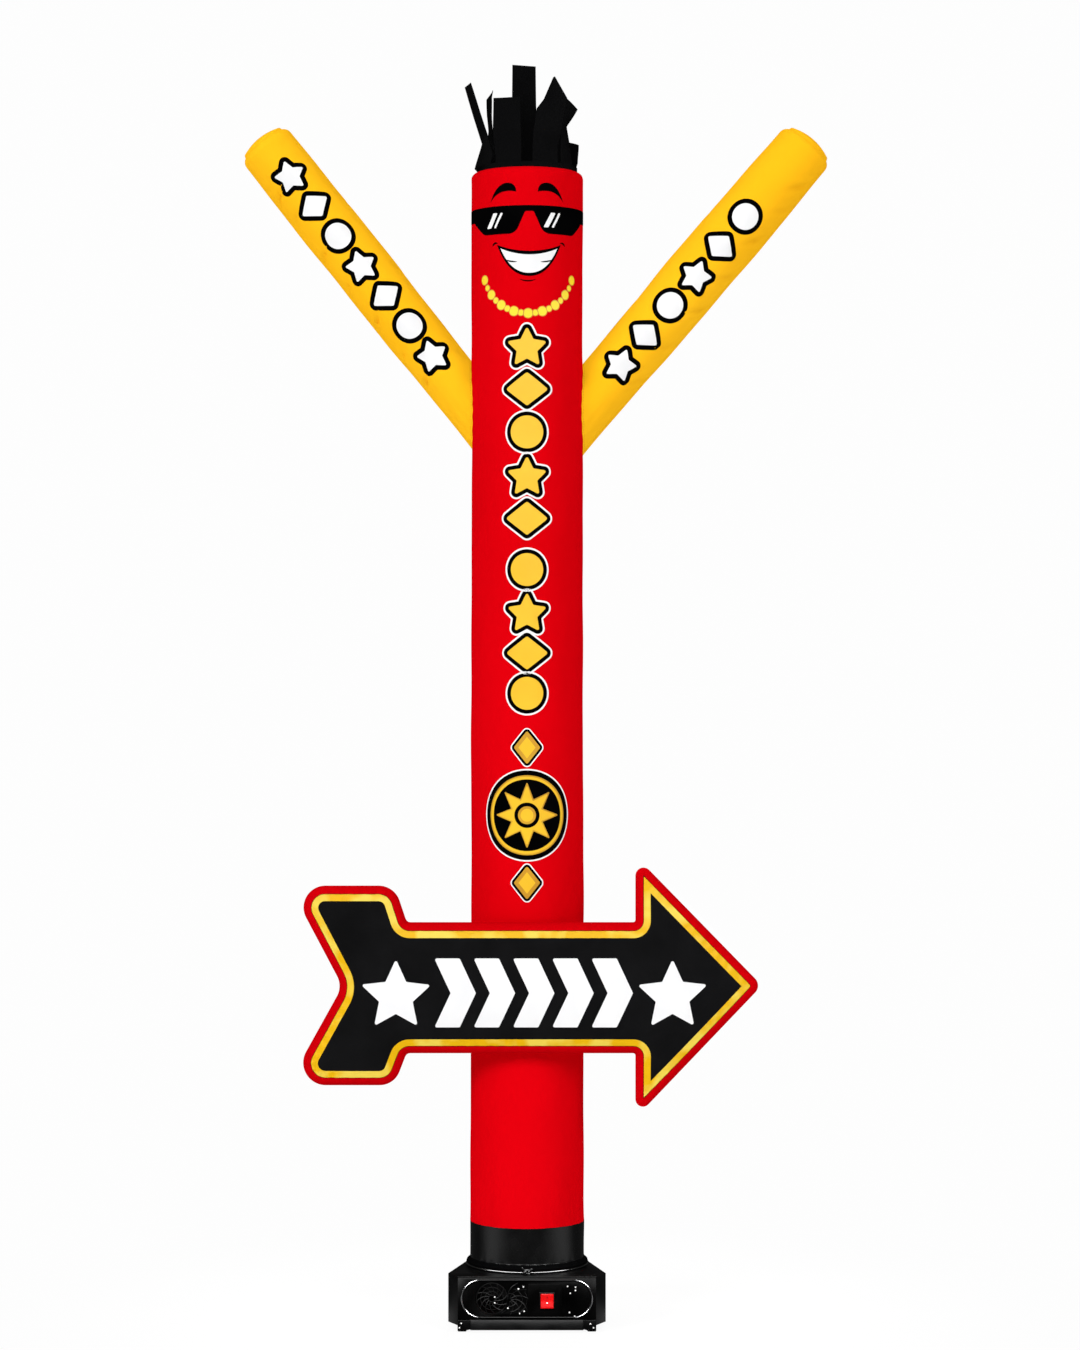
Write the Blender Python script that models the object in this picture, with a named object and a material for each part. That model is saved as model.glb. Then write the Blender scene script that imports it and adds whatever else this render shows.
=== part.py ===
"""Inflatable tube dancer with two arms and an arrow sign, standing on its blower.

Metres, +Z up.  The front faces -Y, the tube's axis is vertical, and the feet stand on
Z = 0.  Everything is modelled round the tube's axis and hung on one empty, which puts the
middle of the whole thing's box over the frame's origin.
"""

from math import cos, pi, radians, sin, sqrt, tan

import bmesh
import bpy
import numpy as np
from mathutils import Matrix, Vector
from mathutils.geometry import delaunay_2d_cdt

# Where the tube's axis stands in the part's frame.
AXIS_X = -0.023
AXIS_Y = 0.009

CLOTH = 0.002  # wall of every inflated cloth piece
GAP = 0.0003  # clearance between neighbouring pieces
LIP = 0.002  # how far a cutter runs past what it cuts

# Body tube: outer radius at each height, widest where it is sewn to the skirt.
TUBE_BOTTOM = 0.2665
TUBE_SEGMENTS = 40
TUBE_GIRTH = (  # height, radius
    (TUBE_BOTTOM, 0.1550),
    (0.420, 0.1543),
    (0.620, 0.1533),
    (0.920, 0.1526),
    (1.240, 0.1518),
    (2.020, 0.1513),
    (2.850, 0.1518),
)
HEAD_RADIUS = 0.1524
HEAD_TOP = 3.110
HEAD_CORNER = 0.019  # rounding of the tube's top edge
HEAD_SEAM_ANGLE = 80  # degrees of that rounding where the cloth ends at the hair
HEAD_STEPS = 4

# Hair: a slit band sewn into the ring seam of the head.
HAIR_RADIUS = 0.1360
HAIR_BAND = 0.0026
HAIR_BAND_HEIGHT = (3.1060, 3.1240)
HAIR_CLOTH = 0.0016
CAP_CROWN = 0.010
CAP_VENT = 0.045  # radius of the vent in the middle of the head's top

# Arms: yellow tubes scribed to the body, with domed ends.
ARM_BACK = 0.045  # how far behind the tube's axis they leave
ARM_SEGMENTS = 24
ARM_CORNER = 0.016
ARM_START = -0.12
PORT_MARGIN = 0.012  # the body's air port is this much smaller than the arm

# Arrow sign: an inflated cushion with its rim in one upright plane before the tube.
ARROW_PLANE = -0.190
ARROW_MIDDLE = 0.9186
ARROW_CROWN = 0.045
ARROW_PORT = 0.030
ARROW_STEP = 0.036
ARROW_HEM = 0.009  # sewn edge round the sign
ARROW_SEAM = 0.0010  # half its thickness
ARROW_LINING_SEAM = 0.0004
ARROW_CORNERS = (  # x, height, radius, round from the notch by way of the upper side
    (-0.4911, 0.9186, 0.056),
    (-0.6329, 1.1863, 0.058),
    (-0.3524, 1.1863, 0.059),
    (-0.3198, 1.0890, 0.013),
    (0.2888, 1.0890, 0.006),
    (0.2888, 1.2657, 0.0215),
    (0.6257, 0.9205, 0.027),
    (0.2888, 0.5680, 0.0200),
    (0.2888, 0.7404, 0.006),
    (-0.3202, 0.7404, 0.013),
    (-0.3533, 0.6552, 0.056),
    (-0.6375, 0.6552, 0.060),
)

# Skirt and its tie.
SKIRT_TOP = TUBE_BOTTOM - GAP
SKIRT_GIRTH = (  # height, outer radius, from the hem up
    (0.1545, 0.1642),
    (0.1590, 0.1646),
    (0.1640, 0.1612),
    (0.1690, 0.1557),
    (0.1745, 0.1543),
    (0.2150, 0.1545),
    (SKIRT_TOP, 0.1550),
)
TIE_RADIUS = 0.003
TIE_RING = 0.1640
TIE_HEIGHT = 0.1507
TIE_SEGMENTS = 48
KNOT_HALF = (0.0105, 0.0060, 0.0070)

# Blower.
BASE_BOTTOM = 0.0165
BASE_TOP = 0.1470
SHEET = 0.003
BASE_PLAN = (  # x, y of the right half, front to back
    (0.184, -0.197),
    (0.211, -0.145),
    (0.129, 0.190),
    (0.110, 0.202),
)
OUTLET_RADIUS = 0.1440
COLLAR_OUTER = 0.1505
COLLAR_TOP = 0.2350
PANEL_THICK = 0.0055
PANEL_FRONT = -0.2030
PANEL_BOTTOM = 0.0335
PANEL_TOP = 0.1440
PANEL_HALF = 0.1835
RIM_HALF_LENGTH = 0.1735
RIM_RADIUS = 0.0495
RIM_WIRE = 0.0020
RIM_MIDDLE = 0.0893
INLET_X = -0.0930
INLET_RADIUS = 0.0440
GUARD_RINGS = (0.0085, 0.0190, 0.0300, 0.0405)
GUARD_BAR = 0.0021
GUARD_SPOKES = 12
GUARD_THICK = 0.003
SWITCH_X = 0.0537
SWITCH_Z = 0.0835
SWITCH_HALF = (0.0170, 0.0190)
PLATE_HALF = (0.0450, 0.0430)
PLATE_MIDDLE = (0.0482, 0.0860)
PLATE_THICK = 0.0020
BEZEL_BORDER = 0.0035
BEZEL_THICK = 0.0022
ROCKER_CLEARANCE = 0.0005
ROCKER_SWING = 8.0  # degrees that each end stands out by
ROCKER_DEPTH = 0.009
FOOT_HEIGHT = BASE_BOTTOM - GAP
FEET = (  # name, x, y, half width, half length
    ("foot_front_left", -0.1725, -0.1800, 0.0120, 0.0165),
    ("foot_front_right", 0.1725, -0.1800, 0.0120, 0.0165),
    ("foot_rear_left", -0.0950, 0.1700, 0.0120, 0.0165),
    ("foot_rear_right", 0.0950, 0.1700, 0.0120, 0.0165),
)


def clear_scene():
    for obj in list(bpy.data.objects):
        bpy.data.objects.remove(obj, do_unlink=True)


def finish(name, colour, roughness, metallic=0.0):
    material = bpy.data.materials.new(name)
    material.use_nodes = True
    shader = material.node_tree.nodes["Principled BSDF"]
    shader.inputs["Base Color"].default_value = (*colour, 1)
    shader.inputs["Roughness"].default_value = roughness
    shader.inputs["Metallic"].default_value = metallic
    return material


def hang(obj, material=None, smooth=None):
    """Links an object under the tube's axis, with its finish and its shading."""
    bpy.context.scene.collection.objects.link(obj)
    obj.parent = bpy.data.objects["tube_axis"]
    if material:
        obj.data.materials.append(material)
    if smooth is not None:
        obj.data.shade_smooth()
        obj.data.set_sharp_from_angle(angle=radians(smooth))
    return obj


def from_faces(name, points, faces, material=None, smooth=None):
    mesh = bpy.data.meshes.new(name)
    mesh.from_pydata([tuple(p) for p in points], [], faces)
    tidy = bmesh.new()
    tidy.from_mesh(mesh)
    bmesh.ops.recalc_face_normals(tidy, faces=tidy.faces)
    tidy.to_mesh(mesh)
    tidy.free()
    return hang(bpy.data.objects.new(name, mesh), material, smooth)


def helper(obj):
    """Marks an object that only cuts or guides."""
    obj.hide_render = True
    obj.display_type = "WIRE"
    return obj


def cut(obj, cutter, operation="DIFFERENCE"):
    modifier = obj.modifiers.new(cutter.name, "BOOLEAN")
    modifier.object = helper(cutter)
    modifier.operation = operation
    modifier.solver = "EXACT"


def turned(name, profile, segments, material=None, smooth=40):
    """A closed (radius, height) profile turned about Z; a radius of 0 is one point."""
    points, rings = [], []
    for r, z in profile:
        if r == 0:
            rings.append([len(points)] * segments)
            points.append((0, 0, z))
            continue
        rings.append([len(points) + i for i in range(segments)])
        for i in range(segments):
            turn = 2 * pi * i / segments
            points.append((r * sin(turn), -r * cos(turn), z))
    faces = []
    for low, high in zip(rings, rings[1:] + rings[:1]):
        for i in range(segments):
            j = (i + 1) % segments
            corners = list(dict.fromkeys([low[i], low[j], high[j], high[i]]))
            if len(corners) > 2:
                faces.append(corners)
    return from_faces(name, points, faces, material, smooth)


def prism(name, outline, low, high, axis="Y", material=None, smooth=None):
    """A polygon in the XZ plane drawn out along Y, or in the XY plane along Z."""
    if axis == "Y":
        points = [(x, y, z) for y in (low, high) for x, z in outline]
    else:
        points = [(x, y, z) for z in (low, high) for x, y in outline]
    n = len(outline)
    sides = [[i, (i + 1) % n, n + (i + 1) % n, n + i] for i in range(n)]
    ends = [list(range(n)), list(range(n, 2 * n))]
    return from_faces(name, points, sides + ends, material, smooth)


def box_outline(x, z, half_x, half_z):
    return [
        (x - half_x, z - half_z),
        (x + half_x, z - half_z),
        (x + half_x, z + half_z),
        (x - half_x, z + half_z),
    ]


def circle_outline(x, z, radius, steps):
    turns = (2 * pi * i / steps for i in range(steps))
    return [(x + radius * cos(t), z + radius * sin(t)) for t in turns]


# Body tube and head


def tube_outside(grow=0.0):
    """(radius, height) up the tube's outer face, moved out by grow."""
    side = [(r + grow, z) for z, r in TUBE_GIRTH]
    corner_r = HEAD_RADIUS - HEAD_CORNER
    corner_z = HEAD_TOP - HEAD_CORNER
    for i in range(HEAD_STEPS + 1):
        turn = radians(HEAD_SEAM_ANGLE) * i / HEAD_STEPS
        reach = HEAD_CORNER + grow
        side.append((corner_r + reach * cos(turn), corner_z + reach * sin(turn)))
    return side


def build_body_tube(red, black):
    wall = tube_outside() + tube_outside(-CLOTH)[::-1]
    tube = turned("body_tube", wall, TUBE_SEGMENTS, red)
    corner_r = HEAD_RADIUS - HEAD_CORNER
    edge = HAIR_RADIUS - HAIR_BAND - GAP
    crown = HEAD_TOP + CAP_CROWN
    cap = [
        (edge, HEAD_TOP - 0.004),
        (edge * 0.7, crown - 0.005),
        (CAP_VENT, crown),
        (CAP_VENT, crown - CLOTH),
        (edge * 0.7, crown - 0.005 - CLOTH),
        (edge, HEAD_TOP - 0.004 - CLOTH),
    ]
    turned("head_cap", cap, TUBE_SEGMENTS, black)
    assert corner_r > edge
    return tube


# Arms


ARM_SHARES = (0.0, 0.25, 0.5, 0.75, 1.0)  # of the arm's length, where its radii are given
ARMS = (  # name, x and height at the root, x and height at the end, radii, dome's rise
    (
        "arm_left",
        (-0.1518, 2.484),
        (-0.7038, 3.178),
        (0.0735, 0.0770, 0.0785, 0.0792, 0.0780),
        0.026,
    ),
    (
        "arm_right",
        (0.1542, 2.474),
        (0.7492, 3.175),
        (0.0803, 0.0832, 0.0855, 0.0852, 0.0815),
        0.028,
    ),
)


def arm_frame(root, end):
    """A matrix whose Z runs out along the arm from its root."""
    start = Vector((root[0], ARM_BACK, root[1]))
    out = (Vector((end[0], ARM_BACK, end[1])) - start).normalized()
    side = Vector((0, 1, 0))
    return Matrix.Translation(start) @ Matrix((side, out.cross(side), out)).transposed().to_4x4()


def arm_outside(length, radii, rise, shrink=0.0):
    """(radius, distance along) up an arm's outer face and over its domed end."""
    last = radii[-1]
    reach = length + 0.004
    corner = ARM_CORNER - shrink
    side = [(radii[0] - shrink, ARM_START)]
    for share, radius in zip(ARM_SHARES[:-1], radii):
        side.append((radius - shrink, share * length))
    for turn in (0, 22, 45, 66):
        turn = radians(turn)
        side.append((last - ARM_CORNER + corner * cos(turn), reach + corner * sin(turn)))
    shoulder = reach + corner * sin(radians(66))
    for share in (0.72, 0.42):
        side.append((last * share - shrink, shoulder + rise * (1 - share**2)))
    side.append((0, shoulder + rise))
    return side


def build_arm(tube, row, yellow):
    name, root, end, radii, rise = row
    length = sqrt((end[0] - root[0]) ** 2 + (end[1] - root[1]) ** 2)
    outer = arm_outside(length, radii, rise)
    inner = arm_outside(length, radii, rise, CLOTH)
    arm = turned(name, outer + inner[::-1], ARM_SEGMENTS, yellow)
    frame = arm_frame(root, end)
    arm.data.transform(frame)
    core = tube_outside(GAP)
    scribe = turned(f"{name}_scribe", [(0, core[0][1]), *core, (0, HEAD_TOP)], TUBE_SEGMENTS)
    cut(arm, scribe)
    bore = radii[0] - PORT_MARGIN
    port = turned(
        f"{name}_port",
        [(0, -0.07), (bore, -0.07), (bore, 0.14), (0, 0.14)],
        ARM_SEGMENTS,
    )
    port.data.transform(frame)
    cut(tube, port)


# Arrow


def rounded(corners, step):
    """Points round a closed outline whose corners are arcs, about a step apart."""
    points = []
    for i, (x, z, radius) in enumerate(corners):
        here = Vector((x, z))
        back = (Vector(corners[i - 1][:2]) - here).normalized()
        on = (Vector(corners[(i + 1) % len(corners)][:2]) - here).normalized()
        half = back.angle(on) / 2
        centre = here + (back + on).normalized() * radius / sin(half)
        first = here + back * radius / tan(half) - centre
        turn = (pi - 2 * half) * (-1 if back.x * on.y > back.y * on.x else 1)
        steps = max(3, round(abs(turn) * radius / step))
        for k in range(steps + 1):
            c, s = cos(turn * k / steps), sin(turn * k / steps)
            arc = Vector((c * first.x - s * first.y, s * first.x + c * first.y))
            points.append(centre + arc)
    return points


def filled_in(outline, step):
    """The outline with points along its straight runs too."""
    points = []
    for a, b in zip(outline, outline[1:] + outline[:1]):
        steps = max(1, round((b - a).length / step))
        points += [a.lerp(b, k / steps) for k in range(steps)]
    return points


def crossings(point, outline):
    """How often a ray to +X from the point crosses the outline."""
    found = 0
    for a, b in zip(outline, outline[1:] + outline[:1]):
        if (a.y > point.y) != (b.y > point.y):
            found += point.x < a.x + (b.x - a.x) * (point.y - a.y) / (b.y - a.y)
    return found


def inside_points(outline, step, margin):
    """A grid of staggered rows inside the outline, clear of its edge."""
    edge = np.array([tuple(p) for p in outline])
    low, high = edge.min(axis=0), edge.max(axis=0)
    points = []
    rows = int((high[1] - low[1]) / (step * 0.866)) + 1
    columns = int((high[0] - low[0]) / step) + 1
    for row in range(rows + 1):
        for column in range(columns + 1):
            x = low[0] + (column + 0.5 * (row % 2)) * step
            point = Vector((x, low[1] + row * step * 0.866))
            clear = np.hypot(*(edge - (point.x, point.y)).T).min() > margin
            if clear and crossings(point, outline) % 2:
                points.append(point)
    return points


def inflated(points, faces, rim, crown):
    """Heights of a film blown up over the flat mesh, 0 on its rim, crown at its highest."""
    count = len(points)
    stiffness = np.zeros((count, count))
    for face in faces:
        for a, b in ((0, 1), (1, 2), (2, 0)):
            stiffness[face[a], face[b]] = stiffness[face[b], face[a]] = -1
    np.fill_diagonal(stiffness, -stiffness.sum(axis=1))
    free = np.arange(rim, count)
    lift = np.linalg.solve(stiffness[np.ix_(free, free)], np.ones(len(free)))
    heights = np.zeros(count)
    heights[free] = crown * np.sqrt(lift / lift.max())
    return heights


def drawn_in(points, rim, inset):
    """The flat points, with those of the rim moved inwards."""
    moved = list(points)
    for i in range(rim):
        along = (points[(i + 1) % rim] - points[(i - 1) % rim]).normalized()
        moved[i] = points[i] + Vector((along.y, -along.x)) * inset
    return moved


def cushion(name, points, faces, rim, lift, seam, material=None):
    """Two cloth faces, each lifted off the rim's plane, and joined round the rim."""
    count = len(points)
    verts = []
    for side in (-1, 1):
        for point, height in zip(points, lift):
            verts.append((point.x, ARROW_PLANE + side * (seam + height), point.y))
    rear = [[count + i for i in reversed(face)] for face in faces]
    edge = [[i, (i + 1) % rim, count + (i + 1) % rim, count + i] for i in range(rim)]
    return from_faces(name, verts, list(faces) + rear + edge, material, 60)


def build_arrow(tube, red):
    outline = filled_in(rounded(ARROW_CORNERS, 0.5 * ARROW_STEP), ARROW_STEP)
    rim = len(outline)
    flat = outline + inside_points(outline, ARROW_STEP, 0.6 * ARROW_STEP)
    ring = [(i, (i + 1) % rim) for i in range(rim)]
    points, _, faces, *_ = delaunay_2d_cdt(flat, ring, [], 1, 1e-5)
    lift = inflated(points, faces, rim, ARROW_CROWN)
    inner = np.maximum(lift - CLOTH + ARROW_SEAM - ARROW_LINING_SEAM, 0)
    arrow = cushion("arrow_sign", points, faces, rim, lift, ARROW_SEAM, red)
    shrunk = drawn_in(points, rim, ARROW_HEM)
    hollow = cushion("arrow_hollow", shrunk, faces, rim, inner, ARROW_LINING_SEAM)
    for obj, grow in ((arrow, GAP), (hollow, GAP + CLOTH)):
        core = tube_outside(grow)
        shape = [(0, core[0][1]), *core, (0, HEAD_TOP)]
        cut(obj, turned(f"{obj.name}_saddle", shape, TUBE_SEGMENTS))
    cut(arrow, hollow)
    ring = circle_outline(0, ARROW_MIDDLE, ARROW_PORT, 20)
    port = prism("arrow_port", ring, -0.170, -0.120)
    cut(arrow, port)
    cut(tube, port)


# Hair


# Each strip's two edges from its root in the band to its end: the left edge's x, y and
# height, then the right edge's.
HAIR = {
    "lean_left": (
        (-0.1334, -0.0187, 3.110, -0.1090, -0.0792, 3.110),
        (-0.142, -0.035, 3.118, -0.098, -0.092, 3.126),
        (-0.133, -0.045, 3.147, -0.092, -0.098, 3.148),
        (-0.122, -0.060, 3.181, -0.108, -0.080, 3.209),
        (-0.144, -0.082, 3.250, -0.127, -0.098, 3.263),
        (-0.167, -0.108, 3.326, -0.151, -0.124, 3.336),
    ),
    "edge_on": (
        (-0.1231, 0.0548, 3.110, -0.1344, -0.0094, 3.110),
        (-0.106, 0.056, 3.234, -0.094, 0.012, 3.229),
        (-0.110, 0.058, 3.278, -0.097, 0.010, 3.270),
        (-0.111, 0.060, 3.322, -0.097, 0.010, 3.320),
        (-0.096, 0.022, 3.337, -0.093, 0.010, 3.339),
    ),
    "front_wide": (
        (-0.0829, -0.1061, 3.110, -0.0164, -0.1337, 3.110),
        (-0.086, -0.110, 3.159, -0.015, -0.133, 3.156),
        (-0.092, -0.113, 3.214, -0.017, -0.136, 3.211),
        (-0.090, -0.105, 3.298, -0.019, -0.130, 3.298),
    ),
    "tall": (
        (-0.0280, 0.1318, 3.110, 0.0326, 0.1307, 3.110),
        (-0.039, 0.116, 3.244, 0.026, 0.120, 3.245),
        (-0.042, 0.092, 3.336, 0.024, 0.102, 3.325),
        (-0.041, 0.070, 3.420, 0.023, 0.085, 3.418),
    ),
    "leaf": (
        (0.0141, -0.1340, 3.110, 0.0829, -0.1061, 3.110),
        (0.015, -0.138, 3.168, 0.081, -0.108, 3.166),
        (0.018, -0.140, 3.210, 0.092, -0.112, 3.210),
        (0.026, -0.136, 3.265, 0.101, -0.108, 3.262),
        (0.045, -0.128, 3.291, 0.108, -0.104, 3.298),
        (0.071, -0.112, 3.353, 0.074, -0.110, 3.355),
    ),
    "turned_right": (
        (0.0901, -0.1001, 3.110, 0.1231, -0.0548, 3.110),
        (0.090, -0.095, 3.175, 0.114, -0.050, 3.186),
        (0.091, -0.086, 3.215, 0.107, -0.044, 3.231),
        (0.093, -0.084, 3.254, 0.122, -0.040, 3.255),
        (0.108, -0.076, 3.301, 0.137, -0.030, 3.280),
    ),
    "short_right": (
        (0.1327, 0.0234, 3.110, 0.1281, -0.0416, 3.110),
        (0.114, 0.026, 3.153, 0.137, -0.034, 3.133),
        (0.113, 0.020, 3.199, 0.139, -0.034, 3.183),
    ),
    "rear_left": (
        (-0.1142, 0.0714, 3.110, -0.0674, 0.1167, 3.110),
        (-0.106, 0.084, 3.217, -0.038, 0.116, 3.224),
        (-0.096, 0.082, 3.242, -0.034, 0.111, 3.246),
        (-0.088, 0.078, 3.268, -0.031, 0.104, 3.277),
    ),
    "rear_right": (
        (0.0548, 0.1231, 3.110, 0.1061, 0.0829, 3.110),
        (0.032, 0.114, 3.222, 0.099, 0.088, 3.215),
        (0.037, 0.100, 3.281, 0.088, 0.082, 3.273),
    ),
    "rear_low": (
        (0.1090, 0.0792, 3.110, 0.1307, 0.0326, 3.110),
        (0.096, 0.066, 3.194, 0.124, 0.036, 3.183),
    ),
}


def hair_strip(name, edges):
    """A flat strip of cloth between its two edges, which may lean and twist."""
    left = [Vector(row[:3]) for row in edges]
    right = [Vector(row[3:]) for row in edges]
    middle = [(a + b) / 2 for a, b in zip(left, right)]
    verts = []
    for i, (a, b) in enumerate(zip(left, right)):
        along = middle[min(i + 1, len(middle) - 1)] - middle[max(i - 1, 0)]
        out = (b - a).cross(along).normalized() * HAIR_CLOTH / 2
        verts += [a + out, b + out, b - out, a - out]
    last = len(verts) - 4
    faces = [[0, 1, 2], [0, 2, 3], [last, last + 2, last + 1], [last, last + 3, last + 2]]
    for low in range(0, last, 4):
        high = low + 4
        for k, diagonal in ((0, 0), (1, 0), (2, 1), (3, 0)):
            m = (k + 1) % 4
            if diagonal:
                faces += [[low + k, low + m, high + k], [low + m, high + m, high + k]]
            else:
                faces += [[low + k, low + m, high + m], [low + k, high + m, high + k]]
    return from_faces(f"hair_{name}", verts, faces)


def build_hair(black):
    low, high = HAIR_BAND_HEIGHT
    inner = HAIR_RADIUS - HAIR_BAND
    band = [(HAIR_RADIUS, low), (HAIR_RADIUS, high), (inner, high), (inner, low)]
    hair = turned("hair_fringe", band, TUBE_SEGMENTS, black)
    for name, edges in HAIR.items():
        cut(hair, hair_strip(name, edges), "UNION")


# Skirt and tie


def build_skirt(black):
    outer = [(r, z) for z, r in SKIRT_GIRTH]
    inner = [(r - CLOTH, z) for r, z in outer[::-1]]
    turned("skirt", outer + inner, TUBE_SEGMENTS, black)


def wire(name, points, radius, material, closed=False, resolution=1):
    curve = bpy.data.curves.new(name, "CURVE")
    curve.dimensions = "3D"
    curve.bevel_depth = radius
    curve.bevel_resolution = resolution
    curve.use_fill_caps = True
    spline = curve.splines.new("POLY")
    spline.points.add(len(points) - 1)
    for point, place in zip(spline.points, points):
        point.co = (*place, 1)
    spline.use_cyclic_u = closed
    obj = bpy.data.objects.new(name, curve)
    hang(obj, material)
    return obj


def build_tie(black):
    """A cord round the hem, with its knot and two short ends at the front."""
    turns = [2 * pi * i / TIE_SEGMENTS for i in range(TIE_SEGMENTS)]
    ring = [(TIE_RING * sin(t), -TIE_RING * cos(t), TIE_HEIGHT) for t in turns]
    wire("tie_cord", ring, TIE_RADIUS, black, closed=True, resolution=2)

    ball = bmesh.new()
    bmesh.ops.create_icosphere(ball, subdivisions=2, radius=1)
    bmesh.ops.scale(ball, vec=KNOT_HALF, verts=ball.verts)
    place = Vector((0, -TIE_RING - TIE_RADIUS - 0.0005 - KNOT_HALF[1], TIE_HEIGHT + 0.0045))
    bmesh.ops.translate(ball, vec=place, verts=ball.verts)
    mesh = bpy.data.meshes.new("tie_knot")
    ball.to_mesh(mesh)
    ball.free()
    knot = hang(bpy.data.objects.new("tie_knot", mesh), black, 60)
    for side, rise in ((-1, 0.011), (1, 0.008)):
        base = place + Vector((side * 0.004, -0.002, 0.001))
        tip = place + Vector((side * 0.012, -0.007, rise))
        end = bmesh.new()
        lean = (tip - base).to_track_quat("Z", "Y").to_matrix().to_4x4()
        bmesh.ops.create_cone(
            end,
            cap_ends=True,
            segments=8,
            radius1=0.0026,
            radius2=0.0028,
            depth=(tip - base).length,
            matrix=Matrix.Translation((base + tip) / 2) @ lean,
        )
        shape = bpy.data.meshes.new("tie_end")
        end.to_mesh(shape)
        end.free()
        cut(knot, hang(bpy.data.objects.new(f"tie_end_{rise}", shape)), "UNION")


# Blower


def base_plan(inset=0.0):
    """The blower's outline from above, all its sides drawn in by inset."""
    right = list(BASE_PLAN)
    plan = right + [(-x, y) for x, y in right[::-1]]
    moved = []
    for i, (x, y) in enumerate(plan):
        here = Vector((x, y))
        back = (here - Vector(plan[i - 1])).normalized()
        on = (Vector(plan[(i + 1) % len(plan)]) - here).normalized()
        inward = (Vector((-back.y, back.x)) + Vector((-on.y, on.x))).normalized()
        moved.append(here + inward * inset / inward.dot(Vector((-back.y, back.x))))
    return [tuple(p) for p in moved]


def build_base(black, collar_black):
    base = prism("blower_base", base_plan(), BASE_BOTTOM, BASE_TOP, "Z", black)
    room = prism("base_room", base_plan(SHEET), BASE_BOTTOM + SHEET, BASE_TOP - SHEET, "Z")
    cut(base, room)
    outlet = circle_outline(0, 0, OUTLET_RADIUS, TUBE_SEGMENTS)
    cut(base, prism("base_outlet", outlet, BASE_TOP - SHEET - LIP, BASE_TOP + LIP, "Z"))
    inlet = circle_outline(INLET_X, RIM_MIDDLE, INLET_RADIUS, 32)
    cut(base, prism("base_inlet", inlet, -0.197 - LIP, -0.197 + SHEET + LIP))
    pocket = box_outline(SWITCH_X, SWITCH_Z, *(h + 0.002 for h in SWITCH_HALF))
    cut(base, prism("base_pocket", pocket, -0.197 - LIP, -0.197 + SHEET + LIP))
    gland = circle_outline(0.060, 0.060, 0.0085, 16)
    cut(base, prism("base_gland", gland, 0.202 - SHEET - LIP, 0.202 + LIP))

    low = BASE_TOP + GAP
    collar = [
        (COLLAR_OUTER, low),
        (COLLAR_OUTER, COLLAR_TOP),
        (COLLAR_OUTER - SHEET, COLLAR_TOP),
        (COLLAR_OUTER - SHEET, low),
    ]
    turned("outlet_collar", collar, TUBE_SEGMENTS, collar_black)


def build_front(black, gloss):
    """The front panel, its stadium rim and the guard over the air inlet."""
    outline = [
        (-PANEL_HALF, PANEL_BOTTOM),
        (PANEL_HALF, PANEL_BOTTOM),
        (PANEL_HALF, PANEL_TOP),
        (-PANEL_HALF, PANEL_TOP),
    ]
    back = PANEL_FRONT + PANEL_THICK
    panel = prism("front_panel", outline, PANEL_FRONT, back, material=black)
    inlet = circle_outline(INLET_X, RIM_MIDDLE, INLET_RADIUS, 32)
    cut(panel, prism("panel_inlet", inlet, PANEL_FRONT - LIP, back + LIP))
    pocket = box_outline(SWITCH_X, SWITCH_Z, *(h + 0.002 for h in SWITCH_HALF))
    cut(panel, prism("panel_pocket", pocket, PANEL_FRONT - LIP, back + LIP))

    run = RIM_HALF_LENGTH - RIM_RADIUS
    rim = []
    for side in (1, -1):
        for i in range(17):
            turn = -pi / 2 + pi * i / 16
            rim.append((side * (run + RIM_RADIUS * cos(turn)), side * RIM_RADIUS * sin(turn)))
    middle = PANEL_FRONT - GAP - RIM_WIRE
    path = [(x, middle, RIM_MIDDLE + z) for x, z in rim]
    wire("panel_rim", path, RIM_WIRE, gloss, closed=True)
    build_guard(gloss)


def build_guard(gloss):
    """Rings and spokes over the inlet, cut from one disc that sits in its hole."""
    front = PANEL_FRONT + 0.001
    disc = circle_outline(INLET_X, RIM_MIDDLE, INLET_RADIUS - 2 * GAP, 32)
    guard = prism("inlet_guard", disc, front, front + GUARD_THICK, material=gloss)
    points, faces = [], []
    step = 2 * pi / GUARD_SPOKES
    for inner, outer in zip(GUARD_RINGS, GUARD_RINGS[1:]):
        low, high = inner + GUARD_BAR / 2, outer - GUARD_BAR / 2
        for k in range(GUARD_SPOKES):
            base = len(points)
            for y in (front - LIP, front + GUARD_THICK + LIP):
                for radius, order in ((low, (0, 1, 2)), (high, (2, 1, 0))):
                    margin = GUARD_BAR / 2 / radius
                    for m in order:
                        turn = k * step + margin + (step - 2 * margin) * m / 2
                        x = INLET_X + radius * cos(turn)
                        points.append((x, y, RIM_MIDDLE + radius * sin(turn)))
            faces.append([base + i for i in range(6)])
            faces.append([base + 6 + i for i in range(5, -1, -1)])
            for i in range(6):
                j = (i + 1) % 6
                faces.append([base + i, base + 6 + i, base + 6 + j, base + j])
    cut(guard, from_faces("guard_gaps", points, faces))


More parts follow.
